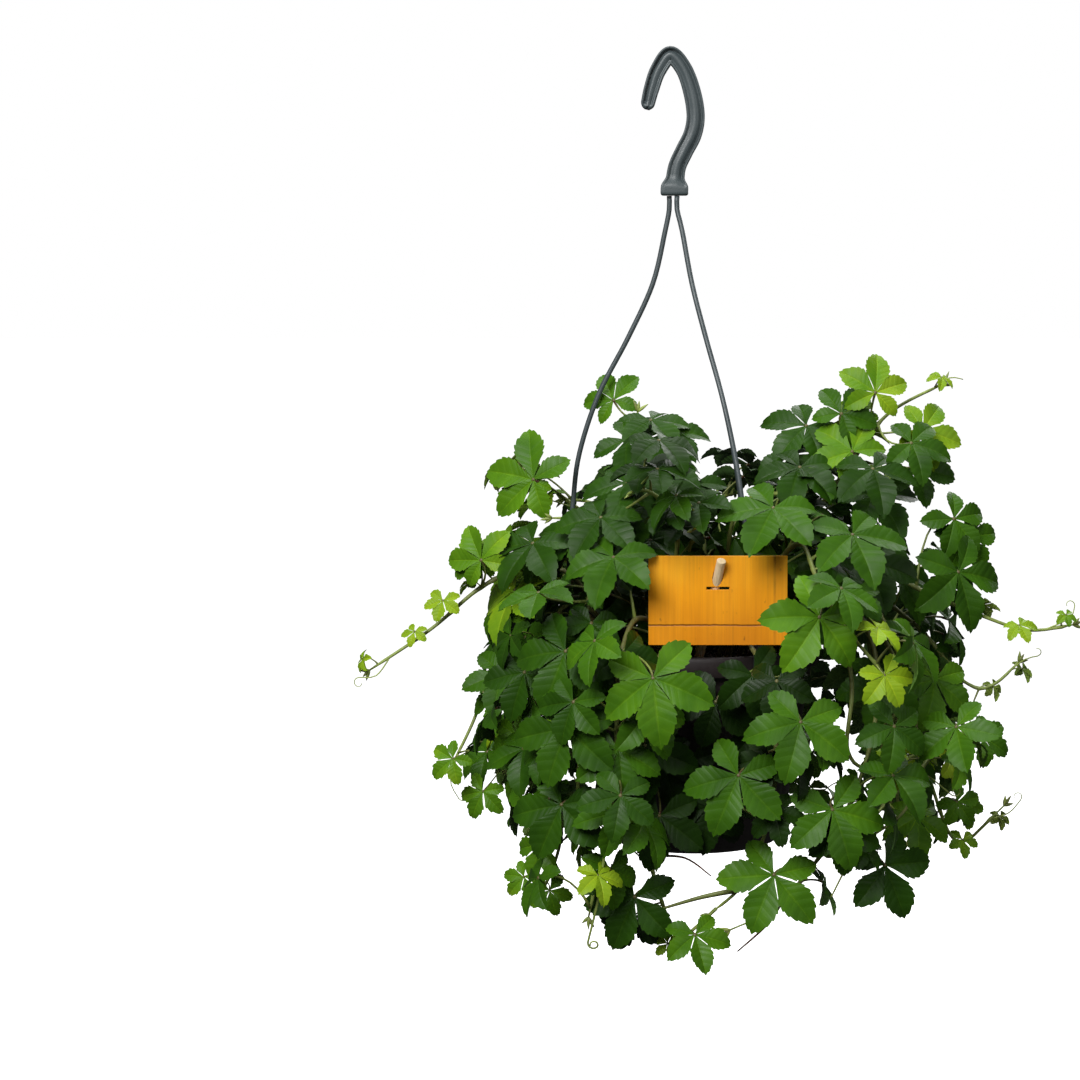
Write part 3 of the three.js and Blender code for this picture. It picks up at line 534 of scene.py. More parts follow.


# Leaves placed one by one in front: stem, place nearest to the base, hub, the way of the
# middle leaflet, facing, size and how fresh its green is
# In the last column, the lowest values, for leaves beside the pot, are painted shade
PLACED_LEAVES = [
    (0, (-42, -112, 2), (-23, -142, -1), (0.2, -0.3, -1), (-0.1, -1, 0.4), 37, 0.64),
    (5, (68, -110, 50), (68, -138, 32), (-0.5, -0.2, -0.9), (0.2, -1, 0.4), 35, 0.66),
    (2, (44, -107, -18), (58, -138, -26), (-0.2, -0.2, -1), (0.1, -1, 0.5), 34, 0.62),
    (2, (44, -113, -52), (24, -136, -56), (-0.3, -0.1, -1), (-0.1, -1, 0.4), 34, 0.55),
    (4, (88, -103, -72), (76, -132, -76), (0.3, -0.2, -1), (0.1, -1, 0.4), 33, 0.5),
    (4, (68, -104, -110), (44, -126, -114), (-0.4, -0.1, -1), (0, -1, 0.5), 34, 0.6),
    (4, (86, -104, -82), (108, -94, -116), (0.4, 0, -1), (0.3, -1, 0.3), 31, 0.3),
    (5, (94, -129, 12), (104, -138, 0), (0.5, -0.2, -1), (0.2, -1, 0.4), 19, 0.97),
    (0, (-34, -88, 24), (-46, -92, 60), (-0.4, -0.8, -0.6), (-0.2, -0.7, 1), 32, 0.42),
    (6, (-88, -33, 51), (-94, -54, 64), (-0.7, -0.5, -0.7), (-0.4, -0.7, 0.9), 34, 0.3),
    (9, (-35, -12, 132), (-26, -28, 134), (0.5, -0.8, -0.3), (0.1, -0.5, 1), 26, 0.3),
    (9, (-40, -9, 108), (-20, -24, 106), (0.8, -0.6, -0.4), (0.2, -0.5, 1), 30, 0.25),
    (9, (-42, -5, 84), (-30, -34, 84), (-0.1, -0.9, -0.5), (-0.1, -0.6, 1), 32, 0.35),
    (10, (-70, 14, 78), (-96, -14, 98), (-1, 0, 0.35), (-0.3, -1, 0.3), 33, 0.66),
    (6, (-125, -42, 37), (-124, -52, 54), (-0.5, 0, 1), (-0.3, -1, 0.2), 23, 0.74),
    (8, (100, -12, 118), (106, -24, 150), (0.2, 0, 1), (0.2, -1, 0.4), 25, 0.85),
    (8, (80, -15, 92), (92, -34, 116), (-0.5, -0.3, 0.8), (0, -1, 0.6), 28, 0.7),
    (8, (108, -10, 128), (134, -22, 128), (1, 0, -0.2), (0.3, -1, 0.5), 25, 0.85),
    # painted shade: these two leaves beside the pot are painted nearly black
    (1, (-28, -98, -30), (-28, -110, -44), (0.1, 0, -1), (-0.1, -1, 0.3), 33, 0.12),
    (1, (-29, -98, -64), (-20, -110, -84), (-0.2, 0, -1), (0, -1, 0.3), 32, 0.1),
    (7, (136, -50, 34), (152, -60, 48), (0.3, 0, -1), (0.5, -1, 0.3), 35, 0.42),
    (0, (-42, -110, 6), (-72, -116, 10), (-0.4, -0.2, -1), (-0.3, -1, 0.4), 34, 0.35),
    (0, (-44, -120, -42), (-70, -134, -30), (-0.3, -0.1, -1), (-0.2, -1, 0.4), 34, 0.4),
    (0, (-48, -118, -84), (-74, -128, -74), (-0.4, -0.1, -1), (-0.3, -1, 0.3), 34, 0.3),
    (1, (-24, -97, -118), (-34, -112, -130), (-0.3, 0, -1), (-0.1, -1, 0.3), 31, 0.25),
    (5, (54, -68, 60), (44, -92, 88), (-0.4, -0.8, -0.4), (0, -0.8, 1), 34, 0.5),
    (5, (64, -90, 60), (88, -104, 74), (0.4, -0.7, -0.6), (0.2, -0.8, 0.9), 34, 0.45),
]


LOWEST_PLACED = 2


def nearest_point(line, place):
    """The point of a stem nearest to the place, of those that bear leaves."""
    best = LOWEST_PLACED
    for i, point in enumerate(line):
        on_ring = (len(line) - 2 - i) % LEAF_SPACING == 0
        if on_ring and length(add(point, place, -1)) < length(add(line[best], place, -1)):
            best = i
    return line[best]


PLACED_FOLD = 0.35
PLACED_DROOP = 0.15


def add_placed_leaves():
    for stem, base, hub, ahead, facing, size, fresh in PLACED_LEAVES:
        leaf = leaf_frame(hub, ahead, facing, size, PLACED_FOLD, PLACED_DROOP)
        leaf["fresh"] = fresh
        add_leaf(stem, nearest_point(stems[stem]["line"], base), leaf, None)


def add_young_leaves():
    for i, stem in enumerate(stems):
        last = len(stem["line"])
        if stem["young"]:
            k = last - 2
            while k > stem["young"] * last:
                rule_leaf(i, k, YOUNG)
                k -= LEAF_SPACING


def add_rule_leaves(habit, most, first):
    """Leaves on all stems in turn, from the first place below the tip, until there are enough."""
    count = 0
    for round_ in range(MOST_ROUNDS):
        for i, stem in enumerate(stems):
            last = len(stem["line"])
            k = last - first - (round_ * ROUND_STEP % MOST_ROUNDS) * LEAF_SPACING
            if k < LOWEST_LEAF or k > (stem["young"] or 1) * last or count >= most:
                continue
            if rule_leaf(i, k, habit):
                count += 1


for strand_line in strand_lines:
    for bead in beads_along(strand_line):
        keep(bead, STRAND_RADIUS + STRAND_CLEAR, ANY_STRAND)
for root, passes, young in LONG_STEMS:
    add_stem(root, passes, young)
add_placed_leaves()
add_trailing()
add_upright()
add_young_leaves()
add_rule_leaves(GROWN, MOST_LEAVES, 2)

# More leaves for the eye, where a blade thinner than the solids' finds room
FILL = {"size": (21, 35), "reach": (14, 44), "inside": True, "clear": -0.6, "open": True}
INNER = {"size": (20, 30), "reach": (8, 22), "inside": True, "clear": -0.8, "open": True}
MOST_FILL = 150
MOST_INNER = 90

# Single leaves in the crown, before the pot and round the edge, each left out where no room
# is found for it: hub, the way of the middle leaflet, facing, size and how fresh its green is.
# The low values of the leaves before and beside the pot are painted shade.
SINGLE_LEAVES = [
    ((-50, -8, 142), (-0.3, -0.5, 0.6), (-0.3, -1, 0.5), 22, 0.6),
    ((-62, -12, 114), (-0.8, -0.3, 0.2), (-0.3, -1, 0.8), 24, 0.35),
    ((-20, -30, 122), (0.4, -0.8, 0.1), (0, -0.7, 1), 26, 0.25),
    ((2, -30, 114), (0.6, -0.7, 0.2), (0, -0.8, 1), 28, 0.2),
    ((20, -38, 116), (0.7, -0.6, -0.1), (0.1, -0.8, 1), 27, 0.25),
    ((8, -46, 98), (-0.4, -0.7, -0.2), (0, -0.9, 0.8), 26, 0.15),
    ((58, -20, 132), (-0.2, -0.8, 0.5), (0, -0.8, 0.8), 30, 0.3),
    ((82, -18, 138), (0.2, -0.6, 0.6), (0, -1, 0.5), 24, 0.45),
    ((112, -40, 88), (0.6, -0.7, -0.3), (0.2, -0.8, 0.9), 31, 0.25),
    ((96, -44, 104), (0.3, -0.9, -0.2), (0.1, -0.8, 1), 30, 0.2),
    ((132, -30, 98), (0.8, -0.3, 0.1), (0.3, -1, 0.6), 26, 0.4),
    ((148, -30, 86), (0.7, -0.2, -0.6), (0.4, -1, 0.4), 25, 0.5),
    ((64, -48, 110), (-0.3, -0.9, -0.3), (0, -0.8, 1), 30, 0.2),
    # painted shade: the leaves before the pot, under the board, are painted dark
    ((12, -88, 4), (-0.2, -0.2, -1), (0, -1, 0.3), 26, 0.15),
    ((38, -90, 2), (0.3, -0.2, -1), (0.1, -1, 0.3), 27, 0.2),
    ((8, -82, -24), (-0.3, 0, -1), (0, -1, 0.2), 28, 0.05),
    ((30, -84, -40), (0.4, 0, -1), (0.1, -1, 0.2), 28, 0.05),
    ((-6, -80, -58), (-0.4, 0, -1), (0, -1, 0.2), 28, 0.05),
    ((16, -78, -86), (0.2, 0, -1), (0, -1, 0.2), 28, 0.05),
    ((-52, -70, 84), (-0.5, -0.8, -0.3), (-0.2, -0.8, 1), 31, 0.3),
    ((-74, -56, 78), (-0.8, -0.5, -0.3), (-0.3, -0.8, 1), 30, 0.3),
    ((-10, -60, 92), (-0.2, -0.9, -0.3), (0, -0.7, 1), 30, 0.25),
    ((24, -66, 86), (0.3, -0.9, -0.3), (0, -0.7, 1), 30, 0.2),
    ((18, -20, 124), (0.1, -0.7, 0.4), (0, -0.8, 1), 21, 0.65),
    ((36, -42, 104), (0.2, -0.8, -0.3), (0, -0.8, 1), 28, 0.2),
    ((46, -26, 122), (0.2, -0.6, 0.4), (0, -0.9, 0.8), 26, 0.3),
    ((-70, -20, 102), (-0.7, -0.4, 0), (-0.4, -0.8, 1), 26, 0.35),
    ((-36, -20, 126), (0.2, -0.6, 0.4), (-0.1, -0.8, 0.8), 28, 0.3),
    ((-46, -44, 104), (-0.3, -0.9, 0), (-0.1, -0.8, 1), 28, 0.25),
    ((-14, -48, 106), (0.2, -0.9, 0), (0, -0.8, 1), 28, 0.2),
    ((30, -10, 130), (0.5, -0.4, 0.3), (0, -0.8, 1), 24, 0.3),
    ((118, -34, 116), (0.7, -0.4, 0.2), (0.2, -0.9, 0.7), 26, 0.4),
    ((-132, -60, -62), (-0.7, -0.2, -0.5), (-0.3, -1, 0.4), 16, 0.75),
    ((-118, -64, -78), (-0.4, -0.2, -0.9), (-0.3, -1, 0.3), 17, 0.7),
    ((-112, -72, -38), (-0.8, -0.2, -0.4), (-0.3, -1, 0.4), 18, 0.6),
    ((-104, -66, -123), (-0.6, -0.1, -0.7), (-0.2, -1, 0.3), 14, 0.75),
    ((-86, -72, -131), (0.2, -0.1, -0.9), (-0.1, -1, 0.3), 15, 0.65),
    ((-31, -92, -152), (-0.4, -0.1, -0.8), (0, -1, 0.2), 21, 0.1),
    ((-20, -98, -158), (-0.6, -0.1, 0.3), (0, -1, 0.4), 10, 0.9),
    ((166, -50, -57), (0.8, -0.1, -0.4), (0.3, -1, 0.4), 18, 0.5),
    ((160, -50, -83), (0.6, -0.1, -0.7), (0.3, -1, 0.3), 16, 0.6),
    ((149, -52, -97), (0.3, -0.1, -0.9), (0.2, -1, 0.3), 14, 0.7),
    ((151, -40, 74), (0.5, -0.2, -0.7), (0.4, -1, 0.2), 24, 0.55),
    ((153, -44, 46), (0.4, -0.2, -0.9), (0.4, -1, 0.1), 18, 0.35),
    ((90, -10, 141), (-0.4, -0.3, 0.6), (0, -1, 0.5), 16, 0.8),
    ((-89, -20, 102), (-0.2, -0.3, 0.8), (-0.2, -1, 0.5), 15, 0.8),
    ((-131, -46, 45), (-0.8, -0.2, 0.2), (-0.3, -1, 0.4), 16, 0.75),
    ((-119, -46, 56), (0.1, -0.2, 0.9), (-0.2, -1, 0.5), 15, 0.8),
    ((-56, -22, 120), (-0.5, -0.4, 0.4), (-0.2, -1, 0.6), 24, 0.25),
    ((-50, -34, 112), (-0.8, -0.3, -0.3), (-0.2, -1, 0.6), 24, 0.2),
    ((14, -36, 118), (-0.6, -0.6, 0.1), (0, -1, 0.7), 24, 0.2),
    # painted shade: leaves beside and before the pot, painted nearly black
    ((-30, -104, -24), (-0.3, -0.2, -0.9), (-0.1, -1, 0.3), 24, 0.05),
    ((-20, -96, -56), (0.2, -0.1, -0.9), (0, -1, 0.3), 26, 0.02),
    ((2, -92, -72), (-0.2, -0.1, -0.9), (0, -1, 0.3), 26, 0.02),
]
SINGLE_TRIES = 150
SINGLE_NUDGE = 10
SINGLE_REACH = (9, 48)
SINGLE_DROOP = 0.2
SINGLE = {"inside": False, "clear": -1.2}


def nearest_stem(hub):
    """The stem and the place on it that a leaf with this hub grows from."""
    found = None
    for i, stem in enumerate(stems):
        for k in range(LOWEST_LEAF, len(stem["line"]) - 1):
            gap = length(add(stem["line"][k], hub, -1))
            if gap > SINGLE_REACH[0] and (found is None or gap < found[0]):
                found = (gap, i, stem["line"][k])
    return found


def add_single_leaves():
    for hub, ahead, facing, size, fresh in SINGLE_LEAVES:
        for _ in range(SINGLE_TRIES):
            nudge = [draw(-SINGLE_NUDGE, SINGLE_NUDGE) for _ in range(3)]
            leaf = leaf_frame(add(hub, nudge), ahead, facing, size, PLACED_FOLD, SINGLE_DROOP)
            gap, i, base = nearest_stem(leaf["hub"])
            leaf["fresh"] = fresh
            if gap < SINGLE_REACH[1] and add_leaf(i, base, leaf, SINGLE):
                break


add_single_leaves()
add_rule_leaves(FILL, MOST_FILL, 3)
add_rule_leaves(INNER, MOST_INNER, 4)
chance = random.Random(SEED)


def in_scene(name, data):
    """A new object in the scene that shows this mesh, light or camera."""
    piece = bpy.data.objects.new(name, data)
    bpy.context.scene.collection.objects.link(piece)
    return piece


# A shape gathers the points, faces and marks of one piece
class Shape:
    def __init__(self):
        self.points = []
        self.faces = []
        self.looks = []
        self.tones = []
        self.uvs = []
        self.creases = []
        self.count = 0

    def add(self, points, faces, look=0, tone=0.5, uv=None, crease=None):
        points = np.asarray(points, float)
        n = len(points)
        self.points.append(points)
        self.faces += [tuple(self.count + i for i in face) for face in faces]
        self.looks += [look] * len(faces)
        self.tones.append(np.broadcast_to(np.asarray(tone, float), (n,)))
        self.uvs.append(np.zeros((n, 2)) if uv is None else uv)
        self.creases.append(np.zeros(n, int) if crease is None else crease)
        self.count += n

    def make(self, name, materials, origin=PLANT):
        mesh = bpy.data.meshes.new(name)
        points = np.concatenate(self.points) * MM + np.array(origin)
        mesh.from_pydata(points.tolist(), [], self.faces)
        for look in materials:
            mesh.materials.append(look)
        mesh.polygons.foreach_set("material_index", self.looks)
        mesh.polygons.foreach_set("use_smooth", [True] * len(self.faces))
        tone = mesh.attributes.new("tone", "FLOAT", "POINT")
        tone.data.foreach_set("value", np.concatenate(self.tones).astype(np.float32))
        corner = np.zeros(len(mesh.loops), np.int32)
        mesh.loops.foreach_get("vertex_index", corner)
        uv = mesh.uv_layers.new(name="UVMap")
        uv.data.foreach_set("uv", np.concatenate(self.uvs)[corner].astype(np.float32).ravel())
        ends = np.zeros(len(mesh.edges) * 2, np.int32)
        mesh.edges.foreach_get("vertices", ends)
        crease = np.concatenate(self.creases)
        first, second = crease[ends[0::2]], crease[ends[1::2]]
        sharp = mesh.attributes.new("sharp_edge", "BOOLEAN", "EDGE")
        sharp.data.foreach_set("value", (first > 0) & (first == second))
        mesh.update()
        return in_scene(name, mesh)


def placed(piece, slot, *nodes):
    """Puts a piece on the one rigid body, in the place of its solids."""
    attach(piece, "root")
    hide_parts(*nodes)


# Tube along a line, with a radius for each of its points
ODD_WAY = (0.31, 0.52, 0.79)  # no line starts out this way


def tube(line, radii, sides):
    line = np.asarray(line, float)
    ways = np.gradient(line, axis=0)
    ways /= np.linalg.norm(ways, axis=1)[:, None]
    across = np.cross(ways[0], ODD_WAY)
    turns = np.arange(sides) * 2 * math.pi / sides
    rings = []
    for point, way, radius in zip(line, ways, radii):
        across = across - way * across.dot(way)
        across /= np.linalg.norm(across)
        other = np.cross(way, across)
        rings.append(point + radius * (np.outer(np.cos(turns), across) + np.outer(np.sin(turns), other)))
    return loft(rings)


def loft(rings):
    """Points and faces of a closed body through rings of equally many points."""
    sides = len(rings[0])
    faces = [tuple(reversed(range(sides)))]
    for r in range(len(rings) - 1):
        a = r * sides
        for k in range(sides):
            n = (k + 1) % sides
            faces.append((a + k, a + n, a + sides + n, a + sides + k))
    last = (len(rings) - 1) * sides
    faces.append(tuple(range(last, last + sides)))
    return np.concatenate([np.asarray(ring, float) for ring in rings]), faces


# Leaflet for the eye: rows run along the side veins from the rib to the toothed edge
WIDEST = 0.6
FOOT_HALF = 0.018
MOST_HALF = 0.28
TOOTH_FROM = 0.36
TOOTH_TO = 0.97
TOOTH_RISE = [(0, 0.0), (0.4, 0.62), (0.72, 1.0), (0.9, 0.62)]
TOOTH_DEPTH = 0.3
TOOTH_OUTWARD = 0.8
TOOTH_AHEAD = 0.55
SMOOTH_ROWS = (0.02, 0.07, 0.14, 0.22, 0.3)
APEX = 1.03
VEIN_SLANT = 0.17
QUILT = 0.015
VEIN_PHASE = 0.72
COLUMNS = (-1, -0.5, 0, 0.5, 1)


def half_width(s):
    if s < WIDEST:
        return FOOT_HALF + (MOST_HALF - FOOT_HALF) * math.sin(math.pi / 2 * s / WIDEST) ** 1.5
    return MOST_HALF * math.cos(math.pi / 2 * (s - WIDEST) / (1 - WIDEST)) ** 0.75


def edge_point(s, out, depth):
    """The edge at s, pushed out and towards the tip by a share of the teeth's depth."""
    step = 0.01
    slope = (half_width(min(s + step, 0.999)) - half_width(max(s - step, 0))) / (2 * step)
    size = math.hypot(1, slope)
    along = (1 / size, slope / size)
    outward = (-slope / size, 1 / size)
    push = depth * out
    u = s + push * (TOOTH_OUTWARD * outward[0] + TOOTH_AHEAD * along[0])
    v = half_width(s) + push * (TOOTH_OUTWARD * outward[1] + TOOTH_AHEAD * along[1])
    return u, v


class Leaflet:
    """One leaflet's grid: u and v of its points, their faces and marks."""

    def __init__(self, teeth):
        span = (TOOTH_TO - TOOTH_FROM) / teeth
        rows = [(s, 0.0) for s in SMOOTH_ROWS]
        rows += [(TOOTH_FROM + span * (k + phase), out) for k in range(teeth) for phase, out in TOOTH_RISE]
        rows.append((TOOTH_TO, 0.0))
        self.teeth = teeth
        grid = []
        for s, out in rows:
            edge_u, edge_v = edge_point(s, out, TOOTH_DEPTH * span)
            rib = s - VEIN_SLANT * math.sin(math.pi * s)
            phase = ((s - TOOTH_FROM) / span - VEIN_PHASE) % 1
            away = min(phase, 1 - phase)
            for share in COLUMNS:
                u = rib + (edge_u - rib) * abs(share)
                relief = QUILT * (away - 0.25) * (1 - abs(share)) * abs(share) * 4
                grid.append((u, edge_v * share, share, s, relief))
        grid.append((APEX, 0.0, 0.0, 1.0, 0.0))
        n = len(COLUMNS)
        top = np.array(grid)
        inner = [r * n + c for r in range(len(rows)) for c in range(1, n - 1)]
        self.grid = np.concatenate([top, top[inner]])
        self.above = np.array([abs(row[2]) < 1 for row in grid[:-1]] + [False] + [False] * len(inner))
        self.below = np.array([False] * len(grid) + [True] * len(inner))
        under = {point: len(grid) + i for i, point in enumerate(inner)}
        self.top_faces, self.low_faces = [], []
        for r in range(len(rows) - 1):
            for c in range(n - 1):
                a, b = r * n + c, r * n + c + 1
                self.top_faces.append((a, a + n, b + n, b))
                self.low_faces.append(tuple(under.get(p, p) for p in (a, b, b + n, a + n)))
        last, apex = (len(rows) - 1) * n, len(grid) - 1
        for c in range(n - 1):
            a, b = last + c, last + c + 1
            self.top_faces.append((a, apex, b))
            self.low_faces.append(tuple(under.get(p, p) for p in (a, b, apex)))
        self.low_faces.append((*range(n), *(under[c] for c in reversed(range(1, n - 1)))))
        rim = np.abs(self.grid[:, 2]) == 1
        rim[apex] = True
        rib = (self.grid[:, 2] == 0) & ~rim
        self.crease = np.where(rim, 1, np.where(rib & ~self.below, 2, 0))
        self.uv = np.stack([0.5 + 0.5 * self.grid[:, 2], self.grid[:, 3]], axis=1)


FINE = Leaflet(5)
SMALL = Leaflet(3)
SMALL_LEAF = 21
BLADE_HALF = 0.24
OWN_SIZE = (0.95, 1.05)
OWN_TURN = 5
OWN_TILT = 0.22
OWN_BEND = 0.05
OWN_FOLD = (0.75, 1.25)
OWN_TONE = 0.05
CUP = {"rise": 1.2, "ease": 0.9}
TIP_CURL = (0.02, 0.16)
RIPPLE = {"rise": 0.022, "length": 9, "half": 0.29}
UPPER, UNDER, SKIN = range(3)  # the three looks of a stem's piece


def leaf_axes(leaf):
    return (np.array(leaf[key]) for key in ("hub", "forward", "side", "normal"))


def blade(shape, leaf, fresh):
    kind = FINE if leaf["size"] > SMALL_LEAF else SMALL
    u, v, _, _, relief = kind.grid.T
    hub, forward, side, normal = leaf_axes(leaf)
    for turn, size in LEAFLETS:
        own = leaf["size"] * size * chance.uniform(*OWN_SIZE)
        angle = math.radians(turn + chance.uniform(-OWN_TURN, OWN_TURN))
        wave = chance.uniform(0, 2 * math.pi)
        tilt = chance.uniform(-OWN_TILT, OWN_TILT)
        curl = chance.uniform(*TIP_CURL)
        bend = chance.uniform(-OWN_BEND, OWN_BEND)
        aside_v = v + bend * u * u
        fold = leaf["fold"] * chance.uniform(*OWN_FOLD)
        cup = fold * np.abs(v) * (CUP["rise"] - CUP["ease"] * np.abs(v))
        lift = cup - leaf["droop"] * u * u - curl * u**4
        ripple = RIPPLE["rise"] * np.sin(RIPPLE["length"] * u + wave + np.sign(v))
        lift += ripple * (v / RIPPLE["half"]) ** 2 + tilt * v * u + relief
        height = own * lift + BLADE_HALF * kind.above - BLADE_HALF * kind.below
        ahead = own * (u * math.cos(angle) - aside_v * math.sin(angle))
        aside = own * (u * math.sin(angle) + aside_v * math.cos(angle))
        points = hub + np.outer(ahead, forward) + np.outer(aside, side) + np.outer(height, normal)
        tone = np.clip(fresh + chance.uniform(-OWN_TONE, OWN_TONE), 0, 1)
        start = shape.count
        shape.add(points, kind.top_faces, UPPER, tone, kind.uv, kind.crease)
        low = [tuple(start + i for i in face) for face in kind.low_faces]
        shape.faces += low
        shape.looks += [UNDER] * len(low)


# Leaf stalk and the small knob where the leaflets meet
STALK_STEPS = 7
STALK_SIDES = 5
STALK_RADIUS = 0.62
SMALL_STALK_RADIUS = 0.4
STALK_TONE = (0.45, 0.9)
KNOB = ((1.25, -0.3), (1.35, 0.1), (0.9, 0.62), (0.3, 0.8))  # radius and height of its rings
KNOB_SIDES = 6
KNOB_TONE = 0.32


def stalk(shape, leaf):
    tone = chance.uniform(*STALK_TONE)
    thick = STALK_RADIUS if leaf["size"] > SMALL_LEAF else SMALL_STALK_RADIUS
    shares = [i / STALK_STEPS for i in range(STALK_STEPS + 1)]
    line = [petiole_point(leaf, leaf["base"], t) for t in shares]
    radii = [thick * (1 + 0.9 * (1 - t) ** 6 + 0.5 * t**6) for t in shares]
    points, faces = tube(line, radii, STALK_SIDES)
    tones = np.repeat([tone * (1 - t**8) for t in shares], STALK_SIDES)
    shape.add(points, faces, SKIN, tones)
    hub, forward, side, normal = leaf_axes(leaf)
    rings = []
    turns = np.arange(KNOB_SIDES) * 2 * math.pi / KNOB_SIDES
    ring = np.outer(np.cos(turns), forward) + np.outer(np.sin(turns), side)
    for radius, height in KNOB:
        rings.append(hub + thick / STALK_RADIUS * (radius * ring + height * normal))
    shape.add(*loft(rings), SKIN, KNOB_TONE)


# How fresh a leaf's green is: 0 old and dark, 1 new and yellow-green. Leaves under the board are painted
# darker as painted shade.
# Painted shade under the board: its place, and how much darker its placed and drawn leaves are painted
SHADE_UNDER_BOARD = {"x": 22, "half": 42, "low": -95, "high": 25, "placed": 0.12, "drawn": 0.5}
YOUNG_LEAF = SMALL_LEAF - 3
YOUNG_GREEN = (0.78, 1.0)
OLD_GREEN = 0.1
TIP_GREEN = 0.3
MIXED_GREEN = 0.36
BRIGHT_ONE = {"chance": 0.16, "more": 0.25}
DARK_CROWN = {"from": 40, "over": 60, "less": 0.3}
# Upper left: young leaves painted yellow-green, a colour that also stands in for a painted glow of light
# through them
LIGHT_LEFT = {"x": -88, "z": 25, "green": (0.72, 0.98)}
LIGHT_RIGHT = {"x": 95, "z": 100, "green": (0.7, 0.95)}


def age_and_shade_of(stem, leaf):
    x, _, z = leaf["hub"]
    dark = SHADE_UNDER_BOARD
    under_board = abs(x - dark["x"]) < dark["half"] and dark["low"] < z < dark["high"]
    # placed leaves keep their listed green, less the painted shade under the board
    if "fresh" in leaf:
        return leaf["fresh"] - (dark["placed"] if under_board else 0)
    if leaf["size"] < YOUNG_LEAF:
        return chance.uniform(*YOUNG_GREEN)
    share = stem["line"].index(leaf["base"]) / len(stem["line"])
    value = OLD_GREEN + TIP_GREEN * share * share + chance.uniform(0, MIXED_GREEN)
    if chance.random() < BRIGHT_ONE["chance"]:
        value += BRIGHT_ONE["more"]
    value -= DARK_CROWN["less"] * min(max((z - DARK_CROWN["from"]) / DARK_CROWN["over"], 0), 1)
    # painted shade: drawn leaves under the board are painted much darker
    if under_board:
        value -= dark["drawn"]
    # upper left: young yellow-green, partly a painted glow of light through the leaves
    if x < LIGHT_LEFT["x"] and z > LIGHT_LEFT["z"]:
        value = chance.uniform(*LIGHT_LEFT["green"])
    if x > LIGHT_RIGHT["x"] and z > LIGHT_RIGHT["z"]:
        value = chance.uniform(*LIGHT_RIGHT["green"])
    return min(max(value, 0), 1)


# Stem: thick at the soil, thin at the tip, with a swelling under each leaf
SKIN_STEP = 4
SKIN_RADIUS = 1.75
SKIN_TAPER = 0.85
SKIN_SIDES = 7
SWELLING = {"rise": 0.35, "spread": 6}
LAST_PART = {"from": 0.97, "thin": 0.6}
WOODY_TONE = (0.12, 0.45)
GREEN_TONE = 0.8


def stem_body(shape, stem):
    line = smooth_line(stem["line"], SKIN_STEP)
    total = len(line) - 1
    woody = chance.uniform(*WOODY_TONE)
    bases = [np.array(leaf["base"]) for leaf in stem["leaves"]]
    radii, tones = [], []
    for i, point in enumerate(line):
        share = i / total
        away = [np.sum((np.array(point) - base) ** 2) for base in bases]
        swell = sum(math.exp(-square / SWELLING["spread"]) for square in away)
        radius = SKIN_RADIUS - SKIN_TAPER * share + SWELLING["rise"] * min(swell, 1)
        radii.append(radius * (1 if share < LAST_PART["from"] else LAST_PART["thin"]))
        tones.append(woody + (GREEN_TONE - woody) * share)
    points, faces = tube(line, radii, SKIN_SIDES)
    shape.add(points, faces, SKIN, np.repeat(tones, SKIN_SIDES))


# Thin shoots and tendrils: stem, points from the stem outward, thickness, tone and turns of the curl
TWIGS = [
    (0, [(-44, -120, -46), (-46, -127, -70), (-50, -129, -100), (-54, -126, -128), (-60, -120, -154)],
     1.2, 0.8, 1.1),
    (2, [(14, -104, -140), (0, -104, -150), (-14, -102, -162)], 1.2, 0.75, 1.2),
    (2, [(22, -110, -128), (4, -112, -130), (-18, -110, -137)], 1.9, 0.55, 0),
    (3, [(142, -84, -47), (122, -112, -62), (100, -122, -82), (82, -122, -108)], 1.4, 0.7, 0),
    (3, [(132, -90, -52), (118, -112, -80), (92, -122, -99), (76, -121, -128)], 1.2, 0.6, 0),
    (4, [(52, -104, -134), (40, -107, -148), (24, -106, -163)], 1.1, 0.15, 0),
    (1, [(-24, -97, -112), (-6, -102, -110), (9, -104, -120)], 1.0, 0.1, 0),
    (6, [(-176, -47, 0), (-186, -50, -14), (-196, -50, -15)], 0.5, 0.9, 0.8),
    (8, [(140, 2, 150), (152, -2, 158), (160, -2, 157)], 0.7, 0.85, 0),
    (7, [(206, -50, 15), (218, -51, 20), (221, -50, 27)], 0.5, 0.9, 0.6),
    (11, [(184, -24, -16), (196, -25, -8), (203, -26, -6)], 0.5, 0.9, 0.5),
    (12, [(176, -26, -104), (187, -27, -100), (194, -27, -92)], 0.5, 0.9, 0.7),
    (3, [(104, -102, -58), (128, -98, -62), (146, -92, -76)], 0.6, 0.7, 1.0),
    (13, [(-140, -16, -62), (-146, -22, -80), (-141, -24, -92)], 0.5, 0.8, 0.8),
]
TWIG_STEP = 3
TWIG_TAPER = 0.6
TWIG_SIDES = 5
CURL_RADIUS = 3.2
CURL_STEPS = 12
CURL_SHRINK = 0.45
CURL_DRIFT = 0.25
BUD_SPREAD = (-0.5, 0.15, 0.6)
BUD_REACH = (4.5, 8)
BUD_BEND = 0.3
BUD_ROWS = [(0, 0.5), (0.25, 1.0), (0.5, 1.1), (0.75, 0.7), (1, 0.15)]  # share of its length, radius
BUD_SIDES = 6
BUD_TONE = (0.55, 1)


def nearest_index(line, place):
    return min(range(len(line)), key=lambda k: length(add(line[k], place, -1)))


